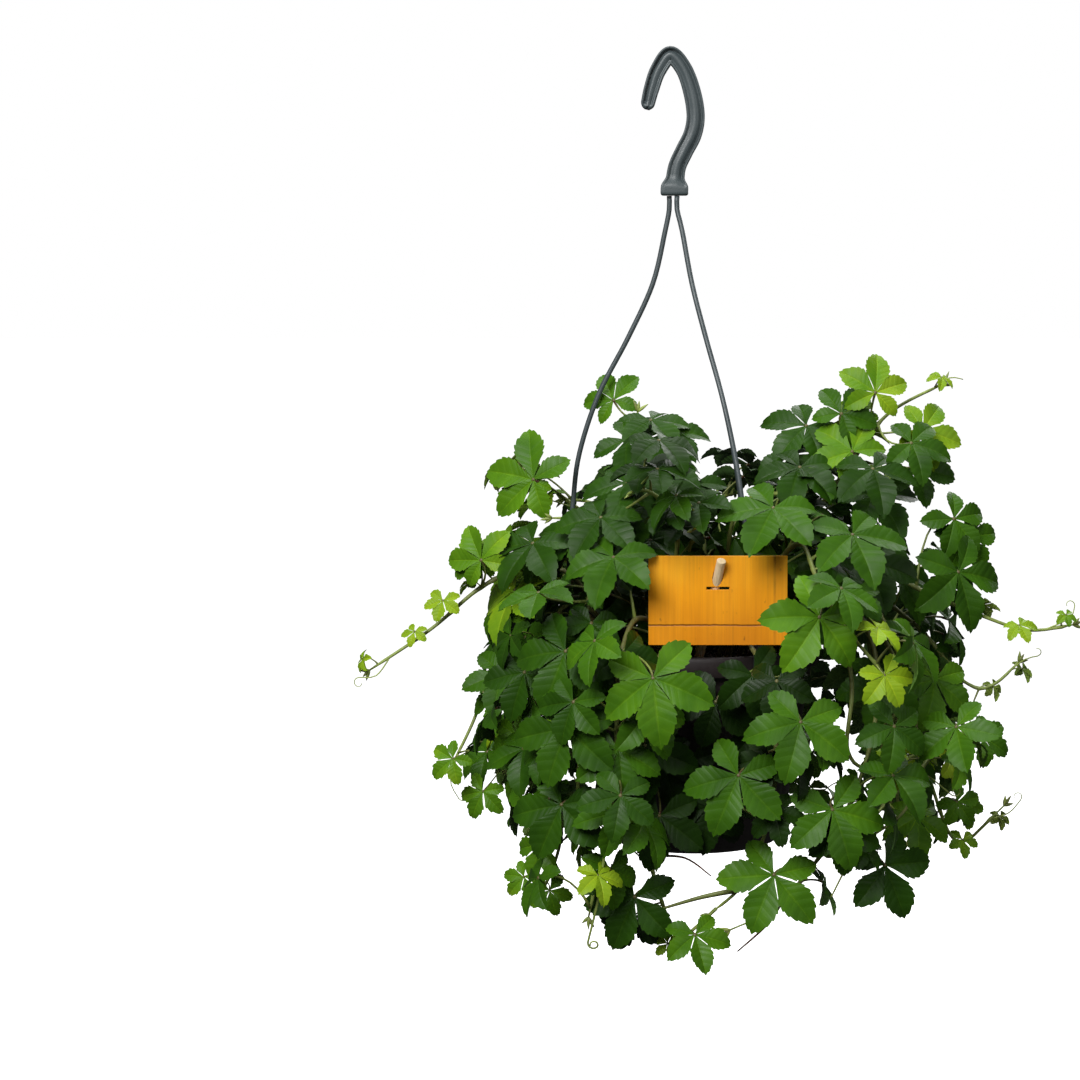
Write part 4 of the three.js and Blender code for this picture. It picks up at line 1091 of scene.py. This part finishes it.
def twig(shape, points, thick, tone, turns):
    """A thin shoot that tapers, and ends in a curl if it has turns."""
    line = smooth_line(points, TWIG_STEP)
    way = unit(add(line[-1], line[-2], -1))
    side = unit(cross(way, (0, 1, 0.2)))
    steps = int(turns * CURL_STEPS)
    centre = add(line[-1], side, CURL_RADIUS)
    for i in range(1, steps + 1):
        turn = 2 * math.pi * i / CURL_STEPS
        radius = CURL_RADIUS * (1 - CURL_SHRINK * i / steps)
        ring = add(add(centre, side, -radius * math.cos(turn)), way, radius * math.sin(turn))
        line.append(add(ring, (0, -CURL_DRIFT * i, 0)))
    last = len(line) - 1
    radii = [thick * (1 - TWIG_TAPER * i / last) for i in range(last + 1)]
    body, faces = tube(line, radii, TWIG_SIDES)
    shape.add(body, faces, SKIN, tone)


def bud(shape, stem):
    """Folded young leaflets at the end of a stem."""
    tip, before = stem["line"][-1], stem["line"][-2]
    way = unit(add(tip, before, -1))
    side = unit(cross(way, (0.1, 1, 0.3)))
    for spread in BUD_SPREAD:
        reach = chance.uniform(*BUD_REACH)
        out = unit(add(way, side, spread))
        bend = spread * reach * BUD_BEND
        line = [add(add(tip, out, reach * t), side, bend * t * t) for t, _ in BUD_ROWS]
        body, faces = tube(line, [radius for _, radius in BUD_ROWS], BUD_SIDES)
        shape.add(body, faces, SKIN, chance.uniform(*BUD_TONE))


def vine_pieces(looks):
    for i, stem in enumerate(stems):
        shape = Shape()
        stem_body(shape, stem)
        bud(shape, stem)
        for owner, points, thick, tone, turns in TWIGS:
            if owner == i:
                start = stem["line"][nearest_index(stem["line"], points[0])]
                twig(shape, [start] + points[1:], thick, tone, turns)
        for leaf in stem["leaves"]:
            blade(shape, leaf, age_and_shade_of(stem, leaf))
            stalk(shape, leaf)
        name = f"{i + 1:02d}"
        placed(shape.make("vine_" + name, looks), "foliage", "leafy_stem_" + name)


# Materials
class Look:
    """A material and short calls for the nodes that lead to its shader."""

    def __init__(self, name, roughness=0.5, **sockets):
        self.material = bpy.data.materials.new(name)
        self.material.use_nodes = True
        self.tree = self.material.node_tree
        self.shader = self.tree.nodes["Principled BSDF"]
        self.shader.inputs["Roughness"].default_value = roughness
        for key, value in sockets.items():
            self.shader.inputs[key.replace("_", " ")].default_value = value

    def node(self, kind, inputs=(), **settings):
        made = self.tree.nodes.new(kind)
        for key, value in settings.items():
            setattr(made, key, value)
        for key, value in dict(inputs).items():
            self.set(made.inputs[key], value)
        return made

    def set(self, socket, value):
        if isinstance(value, bpy.types.NodeSocket):
            self.tree.links.new(value, socket)
        else:
            socket.default_value = value

    def place(self, stretch=(1, 1, 1)):
        coordinates = self.node("ShaderNodeTexCoord").outputs["Object"]
        return self.node("ShaderNodeMapping", {"Vector": coordinates, "Scale": stretch}).outputs[0]

    def noise(self, scale, detail=3.0, stretch=(1, 1, 1), distortion=0.0):
        inputs = {"Vector": self.place(stretch), "Scale": scale, "Detail": detail, "Distortion": distortion}
        return self.node("ShaderNodeTexNoise", inputs).outputs["Fac"]

    def ramp(self, factor, stops):
        made = self.node("ShaderNodeValToRGB", {"Fac": factor})
        marks = made.color_ramp.elements
        marks[0].position = stops[0][0]
        marks[1].position = stops[-1][0]
        for position, _ in stops[1:-1]:
            marks.new(position)
        for mark, (_, colour) in zip(marks, stops):
            mark.color = (*colour, 1)
        return made.outputs["Color"]

    def mix(self, factor, a, b, blend="MIX"):
        made = self.node("ShaderNodeMix", data_type="RGBA", blend_type=blend)
        for socket, value in ((made.inputs[0], factor), (made.inputs[6], a), (made.inputs[7], b)):
            if isinstance(value, tuple):
                value = (*value, 1)
            self.set(socket, value)
        return made.outputs[2]

    def math(self, operation, a, b=0.0, clamp=False):
        made = self.node("ShaderNodeMath", {0: a, 1: b}, operation=operation, use_clamp=clamp)
        return made.outputs[0]

    def plus(self, a, b, clamp=False):
        return self.math("ADD", a, b, clamp)

    def minus(self, a, b):
        return self.math("SUBTRACT", a, b)

    def times(self, a, b):
        return self.math("MULTIPLY", a, b)

    def off(self, a, b):
        """How far a is from b."""
        return self.math("ABSOLUTE", self.minus(a, b))

    def spread(self, value, low, high, to_low=0.0, to_high=1.0):
        inputs = {"Value": value, "From Min": low, "From Max": high, "To Min": to_low, "To Max": to_high}
        return self.node("ShaderNodeMapRange", inputs).outputs[0]

    def bump(self, height, distance, strength=1.0):
        inputs = {"Height": height, "Distance": distance, "Strength": strength}
        self.set(self.shader.inputs["Normal"], self.node("ShaderNodeBump", inputs).outputs[0])

    def colour(self, value):
        self.set(self.shader.inputs["Base Color"], value)

    def rough(self, value):
        self.set(self.shader.inputs["Roughness"], value)


def tone_of(look):
    return look.node("ShaderNodeAttribute", attribute_name="tone").outputs["Fac"]


def vein_marks(look):
    """How near a point is to the midrib, a side vein and the rim of its leaflet, and how far off the vein."""
    uv = look.node("ShaderNodeSeparateXYZ", {0: look.node("ShaderNodeUVMap", uv_map="UVMap").outputs[0]})
    across, along = uv.outputs[0], uv.outputs[1]
    away = look.times(look.off(across, 0.5), 2.0)
    midrib = look.spread(away, 0.03, 0.11, 1.0, 0.0)
    span = (TOOTH_TO - TOOTH_FROM) / FINE.teeth
    steps = look.math("DIVIDE", look.minus(along, TOOTH_FROM), span)
    phase = look.math("FRACT", look.minus(steps, VEIN_PHASE - 0.5))
    off_vein = look.times(look.off(phase, 0.5), 2.0)
    side_veins = look.spread(off_vein, 0.04, 0.26, 1.0, 0.0)
    rim = look.spread(away, 0.86, 1.0)
    return midrib, side_veins, rim, off_vein


LEAF_TOP = [
    (0.0, (0.008, 0.024, 0.002)),
    (0.3, (0.018, 0.06, 0.0025)),
    (0.55, (0.043, 0.127, 0.004)),
    (0.75, (0.088, 0.215, 0.006)),
    (1.0, (0.24, 0.37, 0.012)),
]
LEAF_LOW = [
    (0.0, (0.03, 0.06, 0.018)),
    (0.55, (0.075, 0.17, 0.03)),
    (1.0, (0.28, 0.4, 0.06)),
]


def leaf_top():
    look = Look("leaf_upper_side", 0.44, Specular_IOR_Level=0.15)
    midrib, side_veins, rim, off_vein = vein_marks(look)
    blotch = look.noise(55.0, 4.0)
    age = look.plus(tone_of(look), look.spread(blotch, 0.3, 0.7, -0.09, 0.09), clamp=True)
    green = look.ramp(age, LEAF_TOP)
    veins = look.math("MAXIMUM", midrib, look.times(side_veins, 0.22))
    pale = look.mix(1.0, green, (1.9, 1.5, 1.7), "MULTIPLY")
    green = look.mix(look.times(veins, 0.4), green, pale)
    green = look.mix(look.times(rim, 0.12), green, pale)
    look.colour(green)
    look.rough(look.spread(look.noise(160.0, 3.0), 0.3, 0.7, 0.36, 0.52))
    quilt = look.minus(look.times(off_vein, 0.6), look.times(veins, 0.7))
    fine = look.times(look.noise(900.0, 4.0), 0.35)
    look.bump(look.plus(quilt, fine), 0.0003, 0.4)
    return look.material


def leaf_low():
    look = Look("leaf_underside", 0.6, Specular_IOR_Level=0.3)
    midrib, side_veins, _, _ = vein_marks(look)
    age = look.plus(tone_of(look), look.spread(look.noise(40.0), 0.3, 0.7, -0.07, 0.07), clamp=True)
    green = look.ramp(age, LEAF_LOW)
    veins = look.math("MAXIMUM", midrib, look.times(side_veins, 0.5))
    pale = look.mix(1.0, green, (1.8, 1.45, 1.7), "MULTIPLY")
    look.colour(look.mix(look.times(veins, 0.7), green, pale))
    look.bump(look.plus(veins, look.times(look.noise(700.0), 0.3)), 0.0005, 0.8)
    return look.material


STEM_TONES = [
    (0.0, (0.16, 0.055, 0.022)),
    (0.15, (0.07, 0.032, 0.016)),
    (0.45, (0.13, 0.14, 0.035)),
    (0.75, (0.22, 0.29, 0.06)),
    (1.0, (0.36, 0.44, 0.1)),
]


def stem_bark():
    look = Look("stem_skin", 0.5)
    flecks = look.noise(420.0, 3.0, (1, 1, 0.35))
    tone = look.plus(tone_of(look), look.spread(flecks, 0.3, 0.7, -0.08, 0.08), clamp=True)
    look.colour(look.ramp(tone, STEM_TONES))
    look.bump(flecks, 0.0004, 0.5)
    return look.material


def hanger_plastic():
    look = Look("hanger_plastic", 0.42)
    cloud = look.noise(45.0, 4.0)
    look.colour(look.ramp(cloud, [(0.3, (0.042, 0.056, 0.06)), (0.7, (0.066, 0.083, 0.087))]))
    look.rough(look.spread(look.noise(220.0, 5.0), 0.3, 0.7, 0.36, 0.5))
    look.bump(look.noise(1500.0, 3.0), 0.00012, 0.5)
    return look.material


def pot_plastic():
    look = Look("pot_plastic", 0.5)
    cloud = look.noise(30.0, 5.0)
    look.colour(look.ramp(cloud, [(0.3, (0.012, 0.008, 0.008)), (0.7, (0.02, 0.013, 0.013))]))
    dust = look.noise(260.0, 6.0, (1, 1, 0.3))
    look.rough(look.spread(dust, 0.3, 0.7, 0.5, 0.68))
    look.bump(look.noise(900.0, 3.0), 0.00015, 0.5)
    return look.material


SOIL_BROWN = [
    (0.25, (0.008, 0.005, 0.003)),
    (0.6, (0.035, 0.021, 0.012)),
    (0.8, (0.09, 0.06, 0.035)),
]


def soil_crumb():
    look = Look("soil", 0.95)
    grains = look.noise(420.0, 8.0)
    look.colour(look.ramp(grains, SOIL_BROWN))
    look.bump(grains, 0.0012, 1.0)
    return look.material


MARK_AT = 0.0602  # place of the dark vertical mark near the board's right edge
LINE_HEIGHT = -0.3226  # height of the thin burnt line over the board's foot
BOARD_AMBER = [
    (0.0, (0.64, 0.2, 0.002)),
    (0.5, (0.88, 0.345, 0.003)),
    (1.0, (1.0, 0.52, 0.02)),
]


def board_wood(low, high):
    look = Look("board_wood", 0.55, Specular_IOR_Level=0.3)
    grain = look.noise(95.0, 6.0, (1, 1, 0.045), 0.4)
    place = look.node("ShaderNodeSeparateXYZ", {0: look.node("ShaderNodeTexCoord").outputs["Object"]})
    height = look.spread(place.outputs[2], low.z, high.z)
    cloud = look.noise(28.0, 3.0)
    shade = look.plus(look.times(grain, 0.5), look.times(height, 0.45))
    shade = look.plus(shade, look.spread(cloud, 0.3, 0.7, -0.12, 0.12), clamp=True)
    amber = look.ramp(shade, BOARD_AMBER)
    streaks = look.spread(look.noise(210.0, 2.0, (1, 1, 0.03)), 0.66, 0.78)
    amber = look.mix(look.times(streaks, 0.7), amber, (0.22, 0.06, 0.003))
    fibres = look.spread(look.noise(900.0, 3.0, (1, 1, 0.02)), 0.35, 0.75, 0, 0.35)
    amber = look.mix(fibres, amber, (0.5, 0.15, 0.002))
    off_mark = look.off(place.outputs[0], MARK_AT)
    near_mark = look.spread(off_mark, 0.0003, 0.001, 0.6, 0.0)
    mark = look.times(near_mark, look.spread(cloud, 0.4, 0.6))
    amber = look.mix(mark, amber, (0.16, 0.045, 0.002))
    specks = look.spread(look.noise(520.0, 2.0, (1, 1, 0.4)), 0.7, 0.8)
    amber = look.mix(look.times(specks, 0.55), amber, (0.14, 0.04, 0.005))
    wobble = look.spread(look.noise(160.0, 3.0), 0.3, 0.7, -0.0002, 0.0002)
    off_line = look.off(look.plus(place.outputs[2], wobble), LINE_HEIGHT)
    line = look.spread(off_line, 0.00025, 0.0007, 0.8, 0.0)
    look.colour(look.mix(line, amber, (0.12, 0.03, 0.006)))
    look.rough(look.spread(grain, 0.3, 0.7, 0.42, 0.6))
    look.bump(look.minus(grain, line), 0.0004, 0.7)
    return look.material


STICK_PALE = [
    (0.3, (0.62, 0.43, 0.2)),
    (0.55, (0.86, 0.68, 0.42)),
    (0.8, (0.93, 0.8, 0.58)),
]


def stick_wood():
    look = Look("stick_wood", 0.62)
    grain = look.noise(260.0, 5.0, (1, 1, 0.06))
    look.colour(look.ramp(grain, STICK_PALE))
    look.bump(grain, 0.0004, 0.6)
    return look.material


def pale_floor():
    look = Look("floor", 0.9)
    mottle = look.noise(2.0, 2.0)
    look.colour(look.ramp(mottle, [(0.3, (0.9, 0.9, 0.9)), (0.7, (0.94, 0.94, 0.94))]))
    look.shader.inputs["Emission Color"].default_value = (1, 1, 1, 1)
    look.shader.inputs["Emission Strength"].default_value = 1.0
    return look.material


# Hook: a moulded channel bar along its centre line, in millimetres from the seat
HOOK_LINE = [
    (-12.8, -22.5, 4.1), (-10.6, -14, 4.5), (-6.8, -3.5, 4.7), (0.4, 5.4, 5.0), (8.2, -2.5, 4.9),
    (13.2, -16, 5.2), (15.4, -30, 5.4), (13.6, -41, 5.4), (8.6, -51, 5.3), (4.2, -61, 5.3),
    (2.8, -74, 5.8),
]
HOOK_DEPTH = 8
GROOVE = 3.2
RIM = 1.2
CORNER = 0.6
FLARE_FROM = -66
TIP_BACK = (0.98, 0.93, 0.82, 0.66, 0.45, 0.22)  # rings of the rounded end, as shares of its half width
HOOK_STEP = 1.2
FOOT_ROWS = ((-74.8, 0), (-75.8, 0), (-76.5, 0.25), (-77, 1.1))  # height and inset


def channel_ring(half, depth, groove):
    """The section's outline: its front from the left edge to the right, then its mirror image behind."""
    d = depth / 2
    front = [
        (-half, -d + CORNER),
        (-half + 0.3 * CORNER, -d + 0.3 * CORNER),
        (-half + CORNER, -d),
        (-half + RIM, -d + 0.1),
        (-half + RIM + 0.35, -d + 0.9 * groove),
        (-half + RIM + 1.2, -d + groove),
        (-half + RIM + 2.0, -d + 0.3 * groove),
        (-0.1 * half, -d + 0.1 * groove),
        (0.3 * half, -d + 0.2 * groove),
        (half - RIM - 1.3, -d + 0.5 * groove),
        (half - RIM - 0.7, -d + 0.5 * groove),
        (half - RIM - 0.2, -d + 0.1),
        (half - CORNER, -d),
        (half - 0.3 * CORNER, -d + 0.3 * CORNER),
        (half, -d + CORNER),
    ]
    return front + [(x, -y) for x, y in reversed(front)]


def hook_rows():
    """Centre point, way across, half width, depth and groove depth along the hook."""
    fine = smooth_line(HOOK_LINE, HOOK_STEP)
    rows = []
    for i, (x, z, w) in enumerate(fine):
        before, after = fine[max(i - 1, 0)], fine[min(i + 1, len(fine) - 1)]
        way = (after[0] - before[0], after[1] - before[1])
        size = math.hypot(*way)
        rows.append([x, z, way[0] / size, way[1] / size, w, HOOK_DEPTH, GROOVE])
    return rows


def hook_body():
    rows = hook_rows()
    x, z, way_x, way_z, w = rows[0][:5]
    tip = []
    for back in TIP_BACK:
        share = math.sqrt(1 - back * back)
        depth = HOOK_DEPTH * (0.55 + 0.45 * share)
        groove = GROOVE * max(0, 1 - 2.2 * back)
        tip.append([x - way_x * w * back, z - way_z * w * back, way_x, way_z, w * share, depth, groove])
    rows = tip + rows
    foot = HOOK_FOOT
    for row in rows:
        down = min(max((FLARE_FROM - row[1]) / (FLARE_FROM - foot["top"]), 0), 1)
        ease = down * down * (3 - 2 * down)
        row[4] += (foot["width"] / 2 - HOOK_LINE[-1][2]) * ease
        row[5] += (foot["depth"] - HOOK_DEPTH) * ease
        row[6] *= 1 - ease
    for z, inset in FOOT_ROWS:
        rows.append([foot["x"], z, 0, -1, foot["width"] / 2 - inset, foot["depth"] - 2 * inset, 0])
    rings = []
    for x, z, way_x, way_z, half, depth, groove in rows:
        ring = channel_ring(half, depth, groove)
        rings.append([(x + way_z * a, y, z - way_x * a) for a, y in ring])
    return loft(rings)


def hanger_hook(look):
    shape = Shape()
    shape.add(*hook_body())
    return shape.make("hook_moulding", [look], Vector((0, 0, 0)))


# Strands: a round bar and the clip that hooks under the pot's rim band
STRAND_STEP = 5
STRAND_SIDES = 12
CLIP_CORNER = 0.6
LIP_CORNER = 0.4
CLIP_ROWS = ((-0.5, 0.88), (-0.46, 1), (0.46, 1), (0.5, 0.88))  # place across the clip, size of the outline


def clip_outline():
    inner = RIM_RADIUS + GAP
    outer = inner + CLIP["thick"]
    top, bottom = CLIP["top"], CLIP["bottom"]
    reach = outer - CLIP["thick"] - CLIP["lip"]
    c, e = CLIP_CORNER, LIP_CORNER
    return [
        (inner, top - c), (inner + c, top), (outer - c, top), (outer, top - c),
        (outer, bottom + c), (outer - c, bottom), (reach + e, bottom),
        (reach, bottom + e), (reach, bottom + RIM_LIP - e), (reach + e, bottom + RIM_LIP),
        (inner, bottom + RIM_LIP),
    ]


def strand_piece(rule, look):
    shape = Shape()
    line = smooth_line(strand_points(rule), STRAND_STEP)
    shape.add(*tube(line, [STRAND_RADIUS] * len(line), STRAND_SIDES))
    turn = math.radians(rule["azimuth"])
    centre = np.mean(clip_outline(), axis=0)
    rings = []
    for across, share in CLIP_ROWS:
        aside = across * CLIP["width"]
        ring = []
        for r, z in clip_outline():
            r = centre[0] + (r - centre[0]) * share
            z = centre[1] + (z - centre[1]) * (1 - (1 - share) * 0.2)
            x = r * math.cos(turn) - aside * math.sin(turn)
            y = r * math.sin(turn) + aside * math.cos(turn)
            ring.append((x, y, z))
        rings.append(ring)
    shape.add(*loft(rings))
    return shape.make(rule["name"] + "_moulding", [look])


# Pot and soil
ROUND = 96
POT_FLOOR = 3
SOIL_GAP = 0.5
SOIL_ROUND = 72
SOIL_RINGS = 15
SOIL_DOME = 2
CRUMBS = 260
CRUMB_REACH = 66
CRUMB_SIZE = (0.7, 2.2)


def lathe(profile, sides=ROUND):
    """Closed body round the Z axis; the profile runs from the axis round to the axis again."""
    points = [(0, 0, profile[0][1])]
    turns = [2 * math.pi * i / sides for i in range(sides)]
    for r, z in profile[1:-1]:
        points += [(r * math.cos(t), r * math.sin(t), z) for t in turns]
    points.append((0, 0, profile[-1][1]))
    last = len(points) - 1
    faces = []
    for k in range(sides):
        n = (k + 1) % sides
        faces.append((0, 1 + n, 1 + k))
        for r in range(len(profile) - 3):
            a = 1 + r * sides
            faces.append((a + k, a + n, a + sides + n, a + sides + k))
        top = 1 + (len(profile) - 3) * sides
        faces.append((top + k, top + n, last))
    return points, faces


def pot_piece(look):
    low = POT_FLOOR - POT_HEIGHT
    wall = [(wall_radius(z), z) for z in (low + 1, -100, -80, -60, -40, -24)]
    inside = [(wall_radius(z) - POT_WALL, z) for z in (-RIM_BAND, -40, -80, low)]
    profile = [
        (0, -POT_HEIGHT + 1.4), (BASE_RADIUS - 9, -POT_HEIGHT + 1.4), (BASE_RADIUS - 8, -POT_HEIGHT + 0.8),
        (BASE_RADIUS - 7, -POT_HEIGHT), (BASE_RADIUS - 4, -POT_HEIGHT), (BASE_RADIUS - 2, -POT_HEIGHT + 0.7),
        (BASE_RADIUS, -POT_HEIGHT + 2.2), *wall,
        (wall_radius(-22) + 0.5, -22), (wall_radius(-20) + 0.5, -20), (wall_radius(-18), -18),
        (wall_radius(-RIM_BAND) + 0.2, -RIM_BAND - 1), (RIM_RADIUS - 0.7, -RIM_BAND - 0.1),
        (RIM_RADIUS, -RIM_BAND + 0.7), (RIM_RADIUS, -3), (RIM_RADIUS - 0.1, -1), (RIM_RADIUS - 0.8, -0.15),
        (RIM_RADIUS - 2, 0), (RIM_RADIUS - 3.2, -0.25), (RIM_RADIUS - RIM_LIP - POT_WALL, -1.4),
        *inside, (0, low),
    ]
    shape = Shape()
    shape.add(*lathe(profile))
    return shape.make("pot_shell", [look])


def soil_radius(z):
    return wall_radius(z) - POT_WALL - SOIL_GAP


def soil_piece(look):
    low = POT_FLOOR - POT_HEIGHT + SOIL_GAP
    edge = SOIL_TOP - SOIL_DOME
    shares = [i / SOIL_RINGS for i in range(SOIL_RINGS)]
    top = [(soil_radius(edge) * (1 - t), edge + SOIL_DOME * t) for t in shares]
    profile = [(0, low), (soil_radius(low), low), (soil_radius(-60), -60), *top, (0, SOIL_TOP)]
    points, faces = lathe(profile, SOIL_ROUND)
    lumps = []
    for x, y, z in points:
        if z > SOIL_TOP - 2.5:
            z += 0.9 * math.sin(0.41 * x + 1.3 * math.sin(0.23 * y)) * math.sin(0.37 * y + 0.8)
            z += chance.uniform(-0.7, 0.5)
        lumps.append((x, y, z))
    shape = Shape()
    shape.add(lumps, faces)
    for _ in range(CRUMBS):
        distance = CRUMB_REACH * math.sqrt(chance.random())
        turn = chance.uniform(0, 2 * math.pi)
        size = chance.uniform(*CRUMB_SIZE)
        centre = np.array((distance * math.cos(turn), distance * math.sin(turn), SOIL_TOP - 0.4))
        crumb, sides = icosahedron()
        crumb = crumb * size * np.array([[chance.uniform(0.7, 1.2)] for _ in range(12)]) + centre
        shape.add(crumb, sides)
    return shape.make("soil_bed", [look])


def icosahedron():
    g = (1 + math.sqrt(5)) / 2
    points = [
        (-1, g, 0), (1, g, 0), (-1, -g, 0), (1, -g, 0), (0, -1, g), (0, 1, g),
        (0, -1, -g), (0, 1, -g), (g, 0, -1), (g, 0, 1), (-g, 0, -1), (-g, 0, 1),
    ]
    faces = [
        (0, 11, 5), (0, 5, 1), (0, 1, 7), (0, 7, 10), (0, 10, 11), (1, 5, 9), (5, 11, 4), (11, 10, 2),
        (10, 7, 6), (7, 1, 8), (3, 9, 4), (3, 4, 2), (3, 2, 6), (3, 6, 8), (3, 8, 9), (4, 9, 5),
        (2, 4, 11), (6, 2, 10), (8, 6, 7), (9, 8, 1),
    ]
    return np.array(points) / math.sqrt(1 + g * g), faces


# Board and stick: the solids' own shape with softened edges
FLAT_ANGLE = math.radians(2)
EDGE_ANGLE = math.radians(50)
BOARD_SOFT = 0.00025
STICK_SOFT = 0.0005


def softened(node, name, look, width):
    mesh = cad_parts[node].data.copy()
    body = bmesh.new()
    body.from_mesh(mesh)
    bmesh.ops.remove_doubles(body, verts=body.verts, dist=1e-6)
    bmesh.ops.dissolve_limit(body, angle_limit=FLAT_ANGLE, verts=body.verts, edges=body.edges)
    edges = [e for e in body.edges if len(e.link_faces) == 2 and e.calc_face_angle() > EDGE_ANGLE]
    bmesh.ops.bevel(body, geom=edges, offset=width, segments=2, profile=0.5, affect="EDGES")
    body.to_mesh(mesh)
    body.free()
    mesh.materials.clear()
    mesh.materials.append(look)
    mesh.polygons.foreach_set("material_index", [0] * len(mesh.polygons))
    return in_scene(name, mesh)


# Stage: floor, light and the camera at the photograph's angle
FLOOR_HEIGHT = -0.78
FLOOR_HALF = 30.0


def floor_piece(look):
    mesh = bpy.data.meshes.new("floor")
    h = FLOOR_HALF
    corners = [(-h, -h, FLOOR_HEIGHT), (h, -h, FLOOR_HEIGHT), (h, h, FLOOR_HEIGHT), (-h, h, FLOOR_HEIGHT)]
    mesh.from_pydata(corners, [], [(0, 1, 2, 3)])
    mesh.materials.append(look)
    floor = in_scene("floor", mesh)
    floor.visible_diffuse = False
    floor.visible_glossy = False


AIM = PLANT + Vector((0, 0, 81 * MM))
LIGHTS = [  # name, place, size and power, all aimed at the plant
    ("key", (-0.6, -1.5, 0.8), 1.0, 44),
    ("top", (0.1, 0.25, 1.1), 1.2, 15),
    ("fill", (1.3, -1.2, 0.2), 1.2, 6),
    ("back", (0.7, 1.5, 0.7), 1.2, 16),
]
CAMERA_DISTANCE = 1.5
CAMERA_RISE = 5
FRAME_PIXELS = 1080
PIXEL = 0.6 * MM
AIM_PIXEL = (695, 506)
SENSOR = 36.0


def photo_camera():
    data = bpy.data.cameras.new("camera")
    data.sensor_width = SENSOR
    data.lens = SENSOR * CAMERA_DISTANCE / (FRAME_PIXELS * PIXEL)
    data.shift_x = (FRAME_PIXELS / 2 - AIM_PIXEL[0]) / FRAME_PIXELS
    data.shift_y = (AIM_PIXEL[1] - FRAME_PIXELS / 2) / FRAME_PIXELS
    camera = in_scene("camera", data)
    rise = math.radians(CAMERA_RISE)
    camera.location = AIM + CAMERA_DISTANCE * Vector((0, -math.cos(rise), math.sin(rise)))
    camera.rotation_euler = (math.pi / 2 - rise, 0, 0)
    bpy.context.scene.camera = camera


AMBIENT = 0.065


def studio():
    world = bpy.data.worlds.new("studio")
    bpy.context.scene.world = world
    world.use_nodes = True
    background = world.node_tree.nodes["Background"]
    background.inputs["Color"].default_value = (1, 1, 1, 1)
    ray = world.node_tree.nodes.new("ShaderNodeLightPath")
    strength = world.node_tree.nodes.new("ShaderNodeMix")
    strength.inputs[2].default_value = AMBIENT
    strength.inputs[3].default_value = 1.0
    world.node_tree.links.new(ray.outputs["Is Camera Ray"], strength.inputs[0])
    world.node_tree.links.new(strength.outputs[0], background.inputs["Strength"])
    for name, place, size, power in LIGHTS:
        light = bpy.data.lights.new(name, "AREA")
        light.energy = power
        light.size = size
        lamp = in_scene(name, light)
        lamp.location = place
        lamp.rotation_euler = (AIM - Vector(place)).to_track_quat("-Z", "Y").to_euler()
    bpy.context.scene.view_settings.view_transform = "Standard"


vine_pieces([leaf_top(), leaf_low(), stem_bark()])
plastic = hanger_plastic()
placed(hanger_hook(plastic), "hanger_plastic", "hook")
for rule in STRANDS:
    placed(strand_piece(rule, plastic), "hanger_plastic", rule["name"])
placed(pot_piece(pot_plastic()), "pot_plastic", "pot")
placed(soil_piece(soil_crumb()), "soil", "soil")
board_look = board_wood(*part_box("board"))
placed(softened("board", "name_board", board_look, BOARD_SOFT), "board_wood", "board")
placed(softened("stick", "board_stick", stick_wood(), STICK_SOFT), "stick_wood", "stick")
floor_piece(pale_floor())
photo_camera()
studio()
